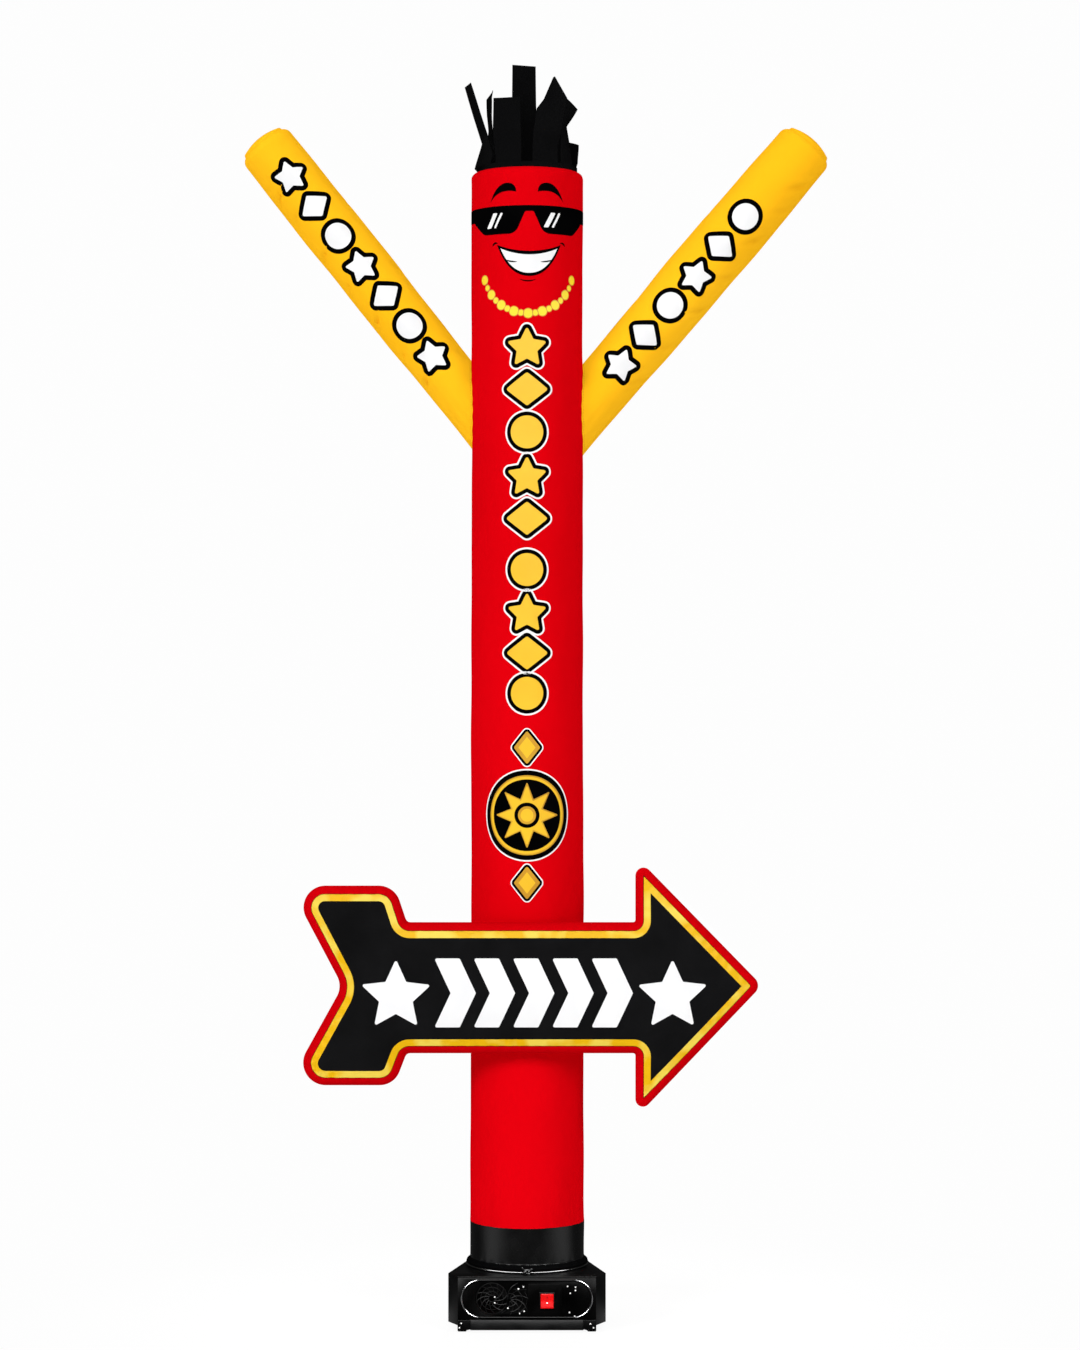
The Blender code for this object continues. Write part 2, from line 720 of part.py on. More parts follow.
def build_switch(black, red):
    """The switch plate, the bezel and the rocker, which rests with its top pressed in."""
    half_x, half_z = SWITCH_HALF
    hole = box_outline(
        SWITCH_X, SWITCH_Z, half_x + ROCKER_CLEARANCE, half_z + ROCKER_CLEARANCE
    )
    plate_back = PANEL_FRONT - GAP
    plate_front = plate_back - PLATE_THICK
    outline = box_outline(*PLATE_MIDDLE, *PLATE_HALF)
    plate = prism("switch_plate", outline, plate_front, plate_back, material=black)
    cut(plate, prism("plate_hole", hole, plate_front - LIP, plate_back + LIP))
    bezel_back = plate_front - GAP
    bezel_front = bezel_back - BEZEL_THICK
    border = box_outline(SWITCH_X, SWITCH_Z, half_x + BEZEL_BORDER, half_z + BEZEL_BORDER)
    bezel = prism("switch_bezel", border, bezel_front, bezel_back, material=black)
    cut(bezel, prism("bezel_hole", hole, bezel_front - LIP, bezel_back + LIP))

    pivot = Vector((SWITCH_X, bezel_front + 0.0008, SWITCH_Z))
    tilt = radians(ROCKER_SWING)
    end = radians(7)
    profile = [(0, 0.0)]
    for share in (0, 0.5, 1):
        turn = tilt - (tilt + end) * share
        profile.append((half_z * cos(turn), -half_z * sin(turn)))
    profile.append((0.012, ROCKER_DEPTH))
    mirrored = [(-z, y) for z, y in profile[:0:-1]]
    section = profile + mirrored
    points = []
    for x in (-half_x, half_x):
        for z, y in section:
            points.append((x, y - 0.0012, z))
    n = len(section)
    faces = [list(range(n)), list(range(2 * n - 1, n - 1, -1))]
    faces += [[i, (i + 1) % n, n + (i + 1) % n, n + i] for i in range(n)]
    rocker = from_faces("rocker", points, faces, red, 20)
    rocker.data.transform(Matrix.Rotation(-tilt, 4, "X"))
    rocker.location = pivot


def build_apron(black):
    """The bent kick plate under the front panel, and the angle piece at each corner."""
    front = PANEL_FRONT
    section = [
        (front - GAP, PANEL_BOTTOM - 0.0005),
        (front + 0.003, PANEL_BOTTOM - 0.0005),
        (front - 0.0040, 0.0065),
        (front - 0.0065, 0.0065),
    ]
    half = 0.1505
    points = [(x, y, z) for x in (-half, half) for y, z in section]
    faces = [[0, 1, 2, 3], [7, 6, 5, 4]]
    faces += [[i, (i + 1) % 4, 4 + (i + 1) % 4, 4 + i] for i in range(4)]
    from_faces("apron", points, faces, black)
    for name, side in (("corner_left", -1), ("corner_right", 1)):
        outline = [(0.1843, 0.0060), (0.1843, 0.0330), (0.1508, 0.0330), (0.1508, 0.0080)]
        outline.append((0.1600, 0.0060))
        shape = [(side * x, z) for x, z in outline]
        prism(name, shape, front - 0.0050, front - 0.0008, material=black)


def build_feet(rubber):
    for name, x, y, half_x, half_y in FEET:
        outline = box_outline(x, y, half_x, half_y)
        foot = prism(name, outline, 0, FOOT_HEIGHT, "Z", rubber)
        edge = foot.modifiers.new("edge", "BEVEL")
        edge.width = 0.002
        edge.segments = 1


def build_gland(black):
    """A screwed cable gland in the rear wall."""
    flange = [
        (0, 0),
        (0.0075, 0),
        (0.0075, 0.0050),
        (0.0125, 0.0050),
        (0.0125, 0.0090),
        (0.0085, 0.0100),
        (0.0075, 0.0180),
        (0.0040, 0.0200),
        (0, 0.0200),
    ]
    gland = turned("cord_gland", flange, 16, black)
    gland.data.transform(Matrix.Rotation(-pi / 2, 4, "X"))
    gland.location = (0.060, 0.202 - 0.0047, 0.060)


def main():
    clear_scene()
    axis = bpy.data.objects.new("tube_axis", None)
    axis.location = (AXIS_X, AXIS_Y, 0)
    bpy.context.scene.collection.objects.link(axis)
    red = finish("red_nylon", (0.75, 0.005, 0.012), 0.55)
    yellow = finish("yellow_nylon", (0.95, 0.48, 0.01), 0.55)
    black = finish("black_nylon", (0.012, 0.012, 0.013), 0.5)
    sign = finish("sign_cloth", (0.75, 0.005, 0.012), 0.55)
    shell = finish("black_enamel", (0.012, 0.012, 0.013), 0.35)
    gloss = finish("gloss_black", (0.01, 0.01, 0.01), 0.2)
    rubber = finish("foot_rubber", (0.01, 0.01, 0.01), 0.7)
    rocker_red = finish("rocker_red", (0.8, 0.01, 0.01), 0.3)

    tube = build_body_tube(red, black)
    for row in ARMS:
        build_arm(tube, row, yellow)
    build_arrow(tube, sign)
    build_hair(black)
    build_skirt(black)
    build_tie(gloss)
    build_base(shell, shell)
    build_front(shell, gloss)
    build_switch(shell, rocker_red)
    build_apron(shell)
    build_feet(rubber)
    build_gland(shell)


main()
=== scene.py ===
"""Looks of an inflatable tube dancer with an arrow sign, standing on its blower.

Everything is in metres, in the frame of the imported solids. Places are given from the
tube's axis, and at() moves them to it. Angles round the tube start at the front and
grow towards +X.
"""

import logging
from dataclasses import dataclass
from enum import Enum
from functools import partial
from math import asin, atan2, copysign, cos, hypot, pi, radians, sin, sqrt, tan, tau
from typing import Callable, Sequence

import bmesh
import bpy
import numpy as np
from mathutils import Matrix, Vector
from mathutils.geometry import delaunay_2d_cdt


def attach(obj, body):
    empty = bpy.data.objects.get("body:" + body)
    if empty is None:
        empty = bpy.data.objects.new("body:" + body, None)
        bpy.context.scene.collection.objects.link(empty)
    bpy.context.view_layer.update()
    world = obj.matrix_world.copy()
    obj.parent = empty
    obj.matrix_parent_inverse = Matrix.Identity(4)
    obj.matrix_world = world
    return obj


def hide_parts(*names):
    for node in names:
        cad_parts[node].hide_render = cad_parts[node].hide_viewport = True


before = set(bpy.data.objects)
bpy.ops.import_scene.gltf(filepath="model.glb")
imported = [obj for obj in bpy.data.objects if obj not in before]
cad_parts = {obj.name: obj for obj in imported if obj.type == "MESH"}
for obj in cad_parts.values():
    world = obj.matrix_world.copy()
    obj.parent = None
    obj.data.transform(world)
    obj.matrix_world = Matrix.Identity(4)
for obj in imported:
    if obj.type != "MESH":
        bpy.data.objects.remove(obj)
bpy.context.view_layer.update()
LOG = logging.getLogger("tube_dancer")

AXIS = Vector((-0.023, 0.009, 0.0))  # foot of the tube's axis
MAIN_BODY = "blower"
SWITCH_BODY = "switch"
CLOTH = 0.002  # thickness of the nylon
INK = 0.00035  # how far a print stands out
INK_FOOT = 0.00006  # where a print starts, over the cloth
TUBE = 0.152  # the tube's radius, for prints
SHARP = radians(42.0)  # edges of thick pieces over this angle stay sharp
WHITE = (1.0, 1.0, 1.0, 1.0)

Piece = bpy.types.Object
Node = bpy.types.Node
Socket = bpy.types.NodeSocket
Material = bpy.types.Material
Array = np.ndarray
Span = tuple[float, float]
Triple = tuple[float, float, float]
Table = tuple[tuple[float, ...], ...]
Points = list[Vector]
Faces = list[list[int]]
Shape = tuple[Points, Faces]
Outline = list[Vector]
Corners = list[Triple]  # x, z and the arc's radius at each corner of an outline
Landing = Callable[[float, float, float], Vector]


def at(x: float, y: float, z: float) -> Vector:
    """The place that is x, y, z from the foot of the tube's axis."""
    return AXIS + Vector((x, y, z))


def round_axis(reach: float, turn: float, height: float) -> Vector:
    """The place at a distance from the tube's axis, an angle round it and a height."""
    return at(reach * sin(turn), -reach * cos(turn), height)


def round_turns(count: int) -> list[float]:
    """Equal angles round a circle."""
    return [tau * k / count for k in range(count)]


# Finishes


class NodeBench:
    """A node tree, with short calls that add and join its nodes."""

    def __init__(self, owner: Material | bpy.types.World, place: str = "Object") -> None:
        """Takes a tree to work on.

        Args:
            owner: the material or the world that has it.
            place: the coordinates that its patterns follow.
        """
        owner.use_nodes = True
        self.owner = owner
        self.tree = owner.node_tree
        self.place = self.add("TexCoord").outputs[place]

    def add(self, kind: str, *first: object, operation: str = "", **named: object) -> Node:
        """Adds a node and sets or joins its inputs.

        Args:
            kind: the node's type name after ShaderNode.
            *first: what goes into its first inputs.
            operation: what it works out, where it has a choice.
            **named: what goes into inputs by name, with _ for each space.

        Returns:
            The node.
        """
        node = self.tree.nodes.new(f"ShaderNode{kind}")
        if operation:
            node.operation = operation
        for socket, value in zip(node.inputs, first):
            self.feed(socket, value)
        self.settle(node, **named)
        return node

    def feed(self, socket: Socket, value: object) -> None:
        """Sets an input, or joins a node's first output or an output socket to it.

        Args:
            socket: the input.
            value: what goes into it.
        """
        source = value.outputs[0] if isinstance(value, Node) else value
        if isinstance(source, Socket):
            self.tree.links.new(source, socket)
        else:
            socket.default_value = source

    def settle(self, node: Node, **named: object) -> None:
        """Sets or joins a node's inputs, named with _ for each space."""
        for name, value in named.items():
            self.feed(node.inputs[name.replace("_", " ")], value)

    def noise(self, scale: float, detail: float, tall: float = 1.0) -> Node:
        """A cloud pattern fixed to the object.

        Args:
            scale: features a metre.
            detail: finer layers in it.
            tall: how much denser it is along Z.

        Returns:
            The node, which gives about 0 to 1.
        """
        moved = self.add("Mapping", Vector=self.place, Scale=(1.0, 1.0, tall))
        return self.add("TexNoise", Vector=moved, Scale=scale, Detail=detail)

    def ranged(
        self, value: object, ends: Span, low: float = 0.0, high: float = 1.0, soft: bool = False
    ) -> Node:
        """Stretches a range of a value to another, and holds it there.

        Args:
            value: the value.
            ends: its range.
            low: what the first end becomes.
            high: what the last end becomes.
            soft: whether it starts and ends gently.

        Returns:
            The node.
        """
        first, last = ends
        node = self.add("MapRange", Value=value, From_Min=first, From_Max=last)
        self.settle(node, To_Min=low, To_Max=high)
        if soft:
            node.interpolation_type = "SMOOTHSTEP"
        return node

    def blend(self, share: object, first: Triple, second: Triple) -> Socket:
        """A colour between two.

        Args:
            share: how much of the second colour shows.
            first: the colour at 0.
            second: the colour at 1.

        Returns:
            The colour's socket.
        """
        mix = self.add("Mix", share)
        mix.data_type = "RGBA"
        sockets = [socket for socket in mix.inputs if socket.type == "RGBA"]
        for socket, colour in zip(sockets, (first, second)):
            socket.default_value = (*colour, 1.0)
        return next(socket for socket in mix.outputs if socket.type == "RGBA")

    def bump(self, height: object, strength: float, depth: float) -> Node:
        """Relief from a pattern, its depth in metres."""
        return self.add("Bump", Height=height, Strength=strength, Distance=depth)


@dataclass(frozen=True)
class Finish:
    """A surface whose colour, gloss and relief follow patterns fixed to the object.

    A pattern is its features a metre, its finer layers and how much denser it is along Z.
    """

    name: str
    colour: Triple
    second: Triple | None = None  # none makes it the first, faded
    roughness: float = 0.5
    specular: float = 0.5
    relief: float = 0.12  # how much of the relief shows
    depth: float = 0.0002  # the relief's height
    fade: float = 1.0
    metallic: float | None = 0.0  # none makes it follow the second colour
    coat: float = 0.0
    patches: Triple = (9.0, 4.0, 1.0)  # where the second colour shows
    shares: Span = (0.0, 1.0)  # how much of it shows there, least and most
    wear: Triple = (420.0, 2.0, 1.0)  # what the roughness follows
    give: Span = (-0.06, 0.06)  # how far the roughness falls and rises
    grain: Triple = (420.0, 2.0, 1.0)  # what the relief follows

    def share(self, bench: NodeBench) -> Node:
        """How much of the second colour shows."""
        return self.middle(bench, bench.noise(*self.patches), *self.shares)

    def middle(self, bench: NodeBench, pattern: Node, low: float, high: float) -> Node:
        """A pattern's middle, stretched between two values."""
        return bench.ranged(pattern, (0.3, 0.7), low, high)

    def normal(self, bench: NodeBench) -> Node:
        """The relief."""
        return bench.bump(bench.noise(*self.grain), self.relief, self.depth)

    def make(self) -> Material:
        """Builds the material.

        Returns:
            The material.
        """
        bench = NodeBench(bpy.data.materials.new(f"{self.name}_finish"))
        second = self.second or tuple(self.fade * c for c in self.colour)
        colour: object = (*self.colour, 1.0)
        share = None
        if second != self.colour:
            share = self.share(bench)
            colour = bench.blend(share, self.colour, second)
        low, high = (self.roughness + give for give in self.give)
        bench.settle(
            bench.tree.nodes["Principled BSDF"],
            Base_Color=colour,
            Roughness=self.middle(bench, bench.noise(*self.wear), low, high),
            Specular_IOR_Level=self.specular,
            Metallic=share if self.metallic is None else self.metallic,
            Coat_Weight=self.coat,
            Normal=self.normal(bench),
        )
        return bench.owner


@dataclass(frozen=True)
class Nylon(Finish):
    """Light coated nylon: an even colour, soft crinkles and a fine plain weave."""

    weave: float = 320.0  # the wave's scale, for about 1000 threads a metre
    relief: float = 0.25
    depth: float = 0.004
    patches: Triple = (1.7, 3.0, 1.0)
    wear: Triple = (24.0, 3.0, 0.6)
    give: Span = (-0.05, 0.05)
    grain: Triple = (24.0, 3.0, 0.6)

    def normal(self, bench: NodeBench) -> Node:
        """Two crossing threads on the crinkles.

        Args:
            bench: where the nodes go.

        Returns:
            The last node.
        """
        cloth = super().normal(bench)
        for direction in "ZX":
            wave = bench.add("TexWave", Vector=bench.place, Scale=self.weave)
            wave.bands_direction = direction
            thread = bench.bump(wave.outputs["Fac"], 0.1, 0.0002)
            bench.settle(thread, Normal=cloth)
            cloth = thread
        return cloth


@dataclass(frozen=True)
class Satin(Nylon):
    """Smooth coated satin with soft crinkles and no weave."""

    give: Span = (-0.03, 0.03)
    normal = Finish.normal


@dataclass(frozen=True)
class Ink(Finish):
    """Screen ink on nylon, which shows the cloth's grain through it."""

    depth: float = 0.0003


@dataclass(frozen=True)
class SheenPaintedInk(Ink):
    """Ink with a painted sheen: patches of painted highlight that brighten and dull it along its length.
    """

    # where the painted sheen shows and how much of it
    patches: Triple = (17.0, 1.5, 1.0)
    shares: Span = (-0.9, 1.4)


@dataclass(frozen=True)
class Enamel(Finish):
    """Sprayed enamel on sheet metal, with a slight orange peel and dust."""

    relief: float = 0.15
    patches: Triple = (16.0, 5.0, 1.0)
    wear: Triple = (16.0, 5.0, 1.0)
    give: Span = (-0.07, 0.09)
    grain: Triple = (520.0, 2.0, 1.0)


@dataclass(frozen=True)
class BareMetal(Finish):
    """Plated steel with fine scratches."""

    relief: float = 0.08
    fade: float = 0.8
    patches: Triple = (260.0, 4.0, 6.0)
    shares: Span = (0.3, 0.7)
    wear: Triple = (260.0, 4.0, 6.0)
    give: Span = (-0.06, 0.10)
    grain: Triple = (260.0, 4.0, 6.0)


@dataclass(frozen=True)
class HighlightPaintedWire(BareMetal):
    """Wire with painted highlights: metal-bright colour painted on its bends, dull black on its straight
    runs.
    """

    metallic: float | None = None
    give: Span = (-0.05, 0.08)
    painted_highlight_bends: Span = (0.128, 0.143)  # how far from the tube's axis the painted highlight fades in

    def share(self, bench: NodeBench) -> Node:
        """How much painted highlight shows, by its distance along X from the tube's axis.

        Args:
            bench: where the nodes go.

        Returns:
            The last node.
        """
        split = bench.add("SeparateXYZ", bench.place)
        aside = bench.add("Math", split, AXIS.x, operation="SUBTRACT")
        return bench.ranged(bench.add("Math", aside, operation="ABSOLUTE"), self.painted_highlight_bends)


@dataclass(frozen=True)
class Moulding(Finish):
    """Moulded plastic or rubber with a spark-eroded grain."""

    relief: float = 0.1
    fade: float = 0.85
    patches: Triple = (30.0, 3.0, 1.0)
    wear: Triple = (900.0, 3.0, 1.0)
    give: Span = (-0.04, 0.06)
    grain: Triple = (900.0, 3.0, 1.0)


def grey(value: float) -> Triple:
    """A grey with nothing of any colour."""
    return (value, value, value)


class Palette(Enum):
    """Every finish on the dancer and its blower."""

    RED = Nylon("red_nylon", (0.635, 0.0004, 0.0040), (0.575, 0.0003, 0.0030), 0.6, 0.0)
    SIGN_RED = Nylon("sign_red_nylon", (0.525, 0.0004, 0.0030), (0.470, 0.0003, 0.0024), 0.6, 0.0)
    YELLOW = Nylon("yellow_nylon", (0.93, 0.480, 0.0120), (0.90, 0.436, 0.0075), 0.5, 0.0, 0.35)
    BLACK = Nylon("black_nylon", (0.0010, 0.0010, 0.0011), (0.0022, 0.0022, 0.0024), 0.6, 0.003)
    SATIN = Satin("black_satin", (0.0004, 0.0004, 0.0005), None, 0.26, 0.5, 0.2)
    THREAD_RED = Nylon("red_thread", (0.50, 0.002, 0.005), (0.4, 0.002, 0.004), 0.6, 0.03)
    THREAD_YELLOW = Nylon("yellow_thread", (0.75, 0.34, 0.005), (0.65, 0.28, 0.004), 0.6, 0.03)
    INK_BLACK = Ink("black_ink", (0.0006, 0.0006, 0.0007), (0.0014, 0.0014, 0.0015), 0.65, 0.0)
    INK_FIELD = Ink("sign_black_ink", (0.0044, 0.0044, 0.0046), (0.0068, 0.0068, 0.0072), 0.65, 0.0)
    INK_WHITE = Ink("white_ink", grey(0.76), (0.72, 0.72, 0.73), 0.55, 0.03)
    INK_YELLOW = Ink("yellow_ink", (0.76, 0.455, 0.012), (0.72, 0.415, 0.009), 0.5, 0.08)
    INK_LEMON = Ink("lemon_ink", (0.80, 0.62, 0.005), (0.76, 0.56, 0.004), 0.5, 0.08)
    # the arrow's yellow line: its pale patches are painted sheen
    INK_PAINTED_SHEEN = SheenPaintedInk("satin_yellow_ink", (0.68, 0.385, 0.004), (0.72, 0.54, 0.070), 0.45, 0.03)
    INK_GOLD = Ink("gold_ink", (0.60, 0.32, 0.013), (0.43, 0.20, 0.008), 0.5, 0.08)
    CORD = Moulding("tie_cord_sheath", grey(0.0006), None, 0.2, 1.0, 0.02, coat=1.0)
    KNOT = Moulding("tie_knot_sheath", grey(0.0006), None, 0.3, 0.6, 0.02)
    WIRE = Enamel("web_wire", grey(0.0036), grey(0.0060), 0.4, 0.12)
    ENAMEL = Enamel("black_enamel", (0.0006, 0.0006, 0.0007), (0.0018, 0.0018, 0.0019), 0.36, 0.09)
    PANEL = Enamel("panel_enamel", grey(0.0004), grey(0.0012), 0.36, 0.04)
    GLOSS = Enamel("gloss_black", grey(0.0014), grey(0.0026), 0.2, 0.4)
    # the rim wire's bright bends are painted highlight
    RIM = HighlightPaintedWire("rim_wire", grey(0.0008), (0.56, 0.56, 0.57), 0.16, 0.2)
    # screw heads: zinc's own light tone, raised to near-white diffuse as painted glint
    ZINC = BareMetal("zinc_screw", (0.98, 0.98, 0.96), None, 0.35, metallic=0.1)
    ROCKER = Moulding("rocker_red", (0.74, 0.001, 0.002), None, 0.3, 0.1, 0.05)
    MARK = Moulding("rocker_mark", (0.95, 0.95, 0.93), None, 0.4, 0.1)
    BEZEL = Moulding("bezel_black", grey(0.0012), None, 0.3, 0.2)
    RUBBER = Moulding("foot_rubber", grey(0.0024), None, 0.7, 0.06, 0.4)

    def made(self) -> Material:
        """The finish's material, built once."""
        return bpy.data.materials.get(f"{self.value.name}_finish") or self.value.make()


# Meshes


def placed(name: str, data: bpy.types.ID) -> Piece:
    """Puts a mesh, a light or a camera into the scene.

    Args:
        name: the new object's name.
        data: what it holds.

    Returns:
        The object.
    """
    thing = bpy.data.objects.new(name, data)
    bpy.context.scene.collection.objects.link(thing)
    return thing


def lay(
    name: str, shape: Shape, finish: Palette, body: str = MAIN_BODY, smooth: float = 60.0
) -> Piece:
    """Makes a piece, dresses it and lets it ride on a body.

    Args:
        name: the piece's name.
        shape: its points, in world metres, and each face's point numbers.
        finish: its finish.
        body: the body that it rides on.
        smooth: the angle in degrees over which edges stay sharp.

    Returns:
        The piece.
    """
    points, faces = shape
    mesh = bpy.data.meshes.new(name)
    mesh.from_pydata([tuple(p) for p in points], [], [list(f) for f in faces])
    mesh.update()
    piece = placed(name, mesh)
    mesh.shade_smooth()
    mesh.set_sharp_from_angle(angle=radians(smooth))
    mesh.materials.append(finish.made())
    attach(piece, body)
    return piece


def joined(shapes: Sequence[Shape]) -> Shape:
    """Several shapes as one.

    Args:
        shapes: the shapes.

    Returns:
        All their points and faces.
    """
    points: Points = []
    faces: Faces = []
    for some, rings in shapes:
        faces += [[len(points) + i for i in ring] for ring in rings]
        points += some
    return points, faces


def settle(piece: Piece) -> Piece:
    """Applies a piece's modifiers to its mesh.

    Args:
        piece: the piece.

    Returns:
        The same piece.
    """
    graph = bpy.context.evaluated_depsgraph_get()
    solid = bpy.data.meshes.new_from_object(piece.evaluated_get(graph))
    piece.modifiers.clear()
    piece.data = solid
    piece.data.set_sharp_from_angle(angle=SHARP)
    return piece


def thicken(piece: Piece) -> Piece:
    """Gives a sheet its thickness, inwards from its outer face, and closes its rims.

    Args:
        piece: the sheet, its faces looking out.

    Returns:
        The same piece.
    """
    wall = piece.modifiers.new("wall", "SOLIDIFY")
    wall.thickness = CLOTH
    wall.offset = -1.0
    wall.use_even_offset = False
    return settle(piece)


def face_out(piece: Piece) -> None:
    """Turns every face of a closed piece outwards.

    Args:
        piece: the piece.
    """
    shape = bmesh.new()
    shape.from_mesh(piece.data)
    bmesh.ops.recalc_face_normals(shape, faces=shape.faces)
    shape.to_mesh(piece.data)
    shape.free()


def grid_faces(rows: int, columns: int, closed: bool = True) -> Faces:
    """Faces of a grid of points, row by row.

    Args:
        rows: how many rows of points.
        columns: how many points a row.
        closed: whether each row runs round to its start.

    Returns:
        Four point numbers a face.
    """
    faces = []
    for base in range(0, (rows - 1) * columns, columns):
        for here in range(columns if closed else columns - 1):
            on = (here + 1) % columns
            top = base + columns
            faces.append([base + here, base + on, top + on, top + here])
    return faces


def ringed(heights: Array, columns: int, reach: Callable[[Array, Array], Array]) -> Shape:
    """A round sheet about the tube's axis.

    Args:
        heights: its rows' heights.
        columns: how many points a row.
        reach: gives distances from the axis at angles and heights.

    Returns:
        Its points and faces.
    """
    turn, level = np.meshgrid(np.linspace(0, tau, columns, endpoint=False) - pi, heights)
    spots = zip(reach(turn, level).ravel(), turn.ravel(), level.ravel())
    return [round_axis(*spot) for spot in spots], grid_faces(len(heights), columns)


def swept(
    path: Sequence[Vector], radius: float, sides: int = 8, closed: bool = False
) -> Shape:
    """A round wire or cord along a path, with domed ends where it is open.

    Args:
        path: points of its centreline.
        radius: its half thickness.
        sides: faces round it.
        closed: whether the path runs back to its start.

    Returns:
        Its points and faces.
    """
    stops = [(place, 1.0) for place in path]
    if not closed:
        caps = []
        for end, inner in ((path[0], path[1]), (path[-1], path[-2])):
            out = (end - inner).normalized() * radius
            caps.append([(end + out * 0.6, 0.8), (end + out * 0.95, 0.3)])
        stops = caps[0][::-1] + stops + caps[1]
    points: Points = []
    normal = Vector((0.12, 0.31, 0.94))
    total = len(stops)
    for i, (place, share) in enumerate(stops):
        before = stops[i - 1][0] if i or closed else place
        after = stops[(i + 1) % total][0] if i + 1 < total or closed else place
        along = (after - before).normalized()
        normal = (normal - along * normal.dot(along)).normalized()
        across = along.cross(normal)
        for turn in round_turns(sides):
            points.append(place + (normal * cos(turn) + across * sin(turn)) * radius * share)
    faces = grid_faces(total, sides)
    last = (total - 1) * sides
    if not closed:
        return points, [*faces, list(range(sides))[::-1], list(range(last, last + sides))]
    shift = min(range(sides), key=lambda s: (points[last] - points[s]).length)
    for k in range(sides):
        on = (k + 1) % sides
        faces.append([last + k, last + on, (on + shift) % sides, (k + shift) % sides])
    return points, faces


# Flat outlines


def rounded(corners: Corners, step: float) -> Outline:
    """Points round a closed outline whose corners are arcs.

    Args:
        corners: its corners in order.
        step: about how far apart the arc's points are.

    Returns:
        The points in order.
    """
    points: Outline = []
    for i, (x, z, radius) in enumerate(corners):
        here = Vector((x, z))
        back = (Vector(corners[i - 1][:2]) - here).normalized()
        on = (Vector(corners[(i + 1) % len(corners)][:2]) - here).normalized()
        half = back.angle(on) / 2
        centre = here + (back + on).normalized() * radius / sin(half)
        first = here + back * radius / tan(half) - centre
        side = -1 if back.x * on.y > back.y * on.x else 1
        turn = (pi - 2 * half) * side
        steps = max(3, round(abs(turn) * radius / step))
        for k in range(steps + 1):
            c, s = cos(turn * k / steps), sin(turn * k / steps)
            points.append(centre + Vector((c * first.x - s * first.y, s * first.x + c * first.y)))
    return points


def grown(corners: Corners, by: float) -> Corners:
    """An outline's corners moved out, so that its sides lie further out by that much.

    Args:
        corners: its corners, counterclockwise.
        by: how far out; negative moves them in.

    Returns:
        The new corners.
    """
    moved: Corners = []
    for i, (x, z, radius) in enumerate(corners):
        here = Vector((x, z))
        before = (here - Vector(corners[i - 1][:2])).normalized()
        after = (Vector(corners[(i + 1) % len(corners)][:2]) - here).normalized()
        side = Vector((before.y, -before.x))
        out = (side + Vector((after.y, -after.x))).normalized()
        reach = by / max(0.25, out.dot(side))
        convex = before.x * after.y - before.y * after.x > 0
        size = radius + by if convex else radius - by
        moved.append((x + out.x * reach, z + out.y * reach, max(0.0006, size)))
    return moved


def filled_in(outline: Outline, step: float) -> Outline:
    """Puts points along an outline's straight runs too.

    Args:
        outline: the outline.
        step: about how far apart they are.

    Returns:
        All its points.
    """
    points: Outline = []
    for a, b in zip(outline, outline[1:] + outline[:1]):
        steps = max(1, round((b - a).length / step))
        points += [a.lerp(b, k / steps) for k in range(steps)]
    return points


def inside(points: Array, outline: Outline) -> Array:
    """Which points lie inside an outline.

    Args:
        points: one row of x, z a point.
        outline: the closed outline.

    Returns:
        One truth value a point.
    """
    held = np.zeros(len(points), bool)
    for a, b in zip(outline, outline[1:] + outline[:1]):
        if a.y == b.y:
            continue
        level = (a.y > points[:, 1]) != (b.y > points[:, 1])
        meets = a.x + (b.x - a.x) * (points[:, 1] - a.y) / (b.y - a.y)
        held ^= level & (points[:, 0] < meets)
    return held


def meshed(outlines: Sequence[Outline], step: float, margin: float) -> tuple[Points, Faces, Array]:
    """One flat mesh that holds every outline, with staggered points between them.

    Args:
        outlines: closed outlines, the outermost first.
        step: how far apart the points between them are.
        margin: how far those stay from an outline's points.

    Returns:
        Its points, its triangles, and the number of the last outline that holds each.
    """
    flat: Outline = []
    rings: list[tuple[int, int]] = []
    for outline in outlines:
        start, count = len(flat), len(outline)
        flat += outline
        rings += [(start + i, start + (i + 1) % count) for i in range(count)]
    edge = np.array([tuple(p) for p in flat])
    low, high = edge.min(axis=0), edge.max(axis=0)
    rows = enumerate(np.arange(low[1], high[1], step * 0.866))
    columns = np.arange(low[0], high[0], step)
    between = np.array([(x + 0.5 * step * (i % 2), z) for i, z in rows for x in columns])
    between = between[inside(between, outlines[0])]
    flat += [Vector(p) for p in between if np.hypot(*(edge - p).T).min() > margin]
    spots, _, faces, *_ = delaunay_2d_cdt(flat, rings, [], 0, 1e-6)
    middles = np.array([tuple(sum((spots[i] for i in f), Vector((0, 0))) / 3) for f in faces])
    owner = np.full(len(faces), -1)
    for number, outline in enumerate(outlines):
        owner[inside(middles, outline)] = number
    return spots, faces, owner


def star(x: float, z: float, tips: int, reach: float, waist: float, tip: float = 0.004) -> Corners:
    """Corners of a star, counterclockwise.

    Args:
        x: its middle.
        z: its middle.
        tips: how many tips.
        reach: how far out the tips are.
        waist: how far out the corners between them are.
        tip: radius of its rounded corners.

    Returns:
        The corners.
    """
    corners: Corners = []
    for k in range(2 * tips):
        angle = pi / 2 + pi * k / tips
        out = waist if k % 2 else reach
        corners.append((x + out * cos(angle), z + out * sin(angle), tip))
    return corners


def lozenge(x: float, z: float, half_x: float, half_z: float, tip: float = 0.004) -> Corners:
    """Corners of an upright lozenge, counterclockwise."""
    return [(x + half_x, z, tip), (x, z + half_z, tip), (x - half_x, z, tip), (x, z - half_z, tip)]


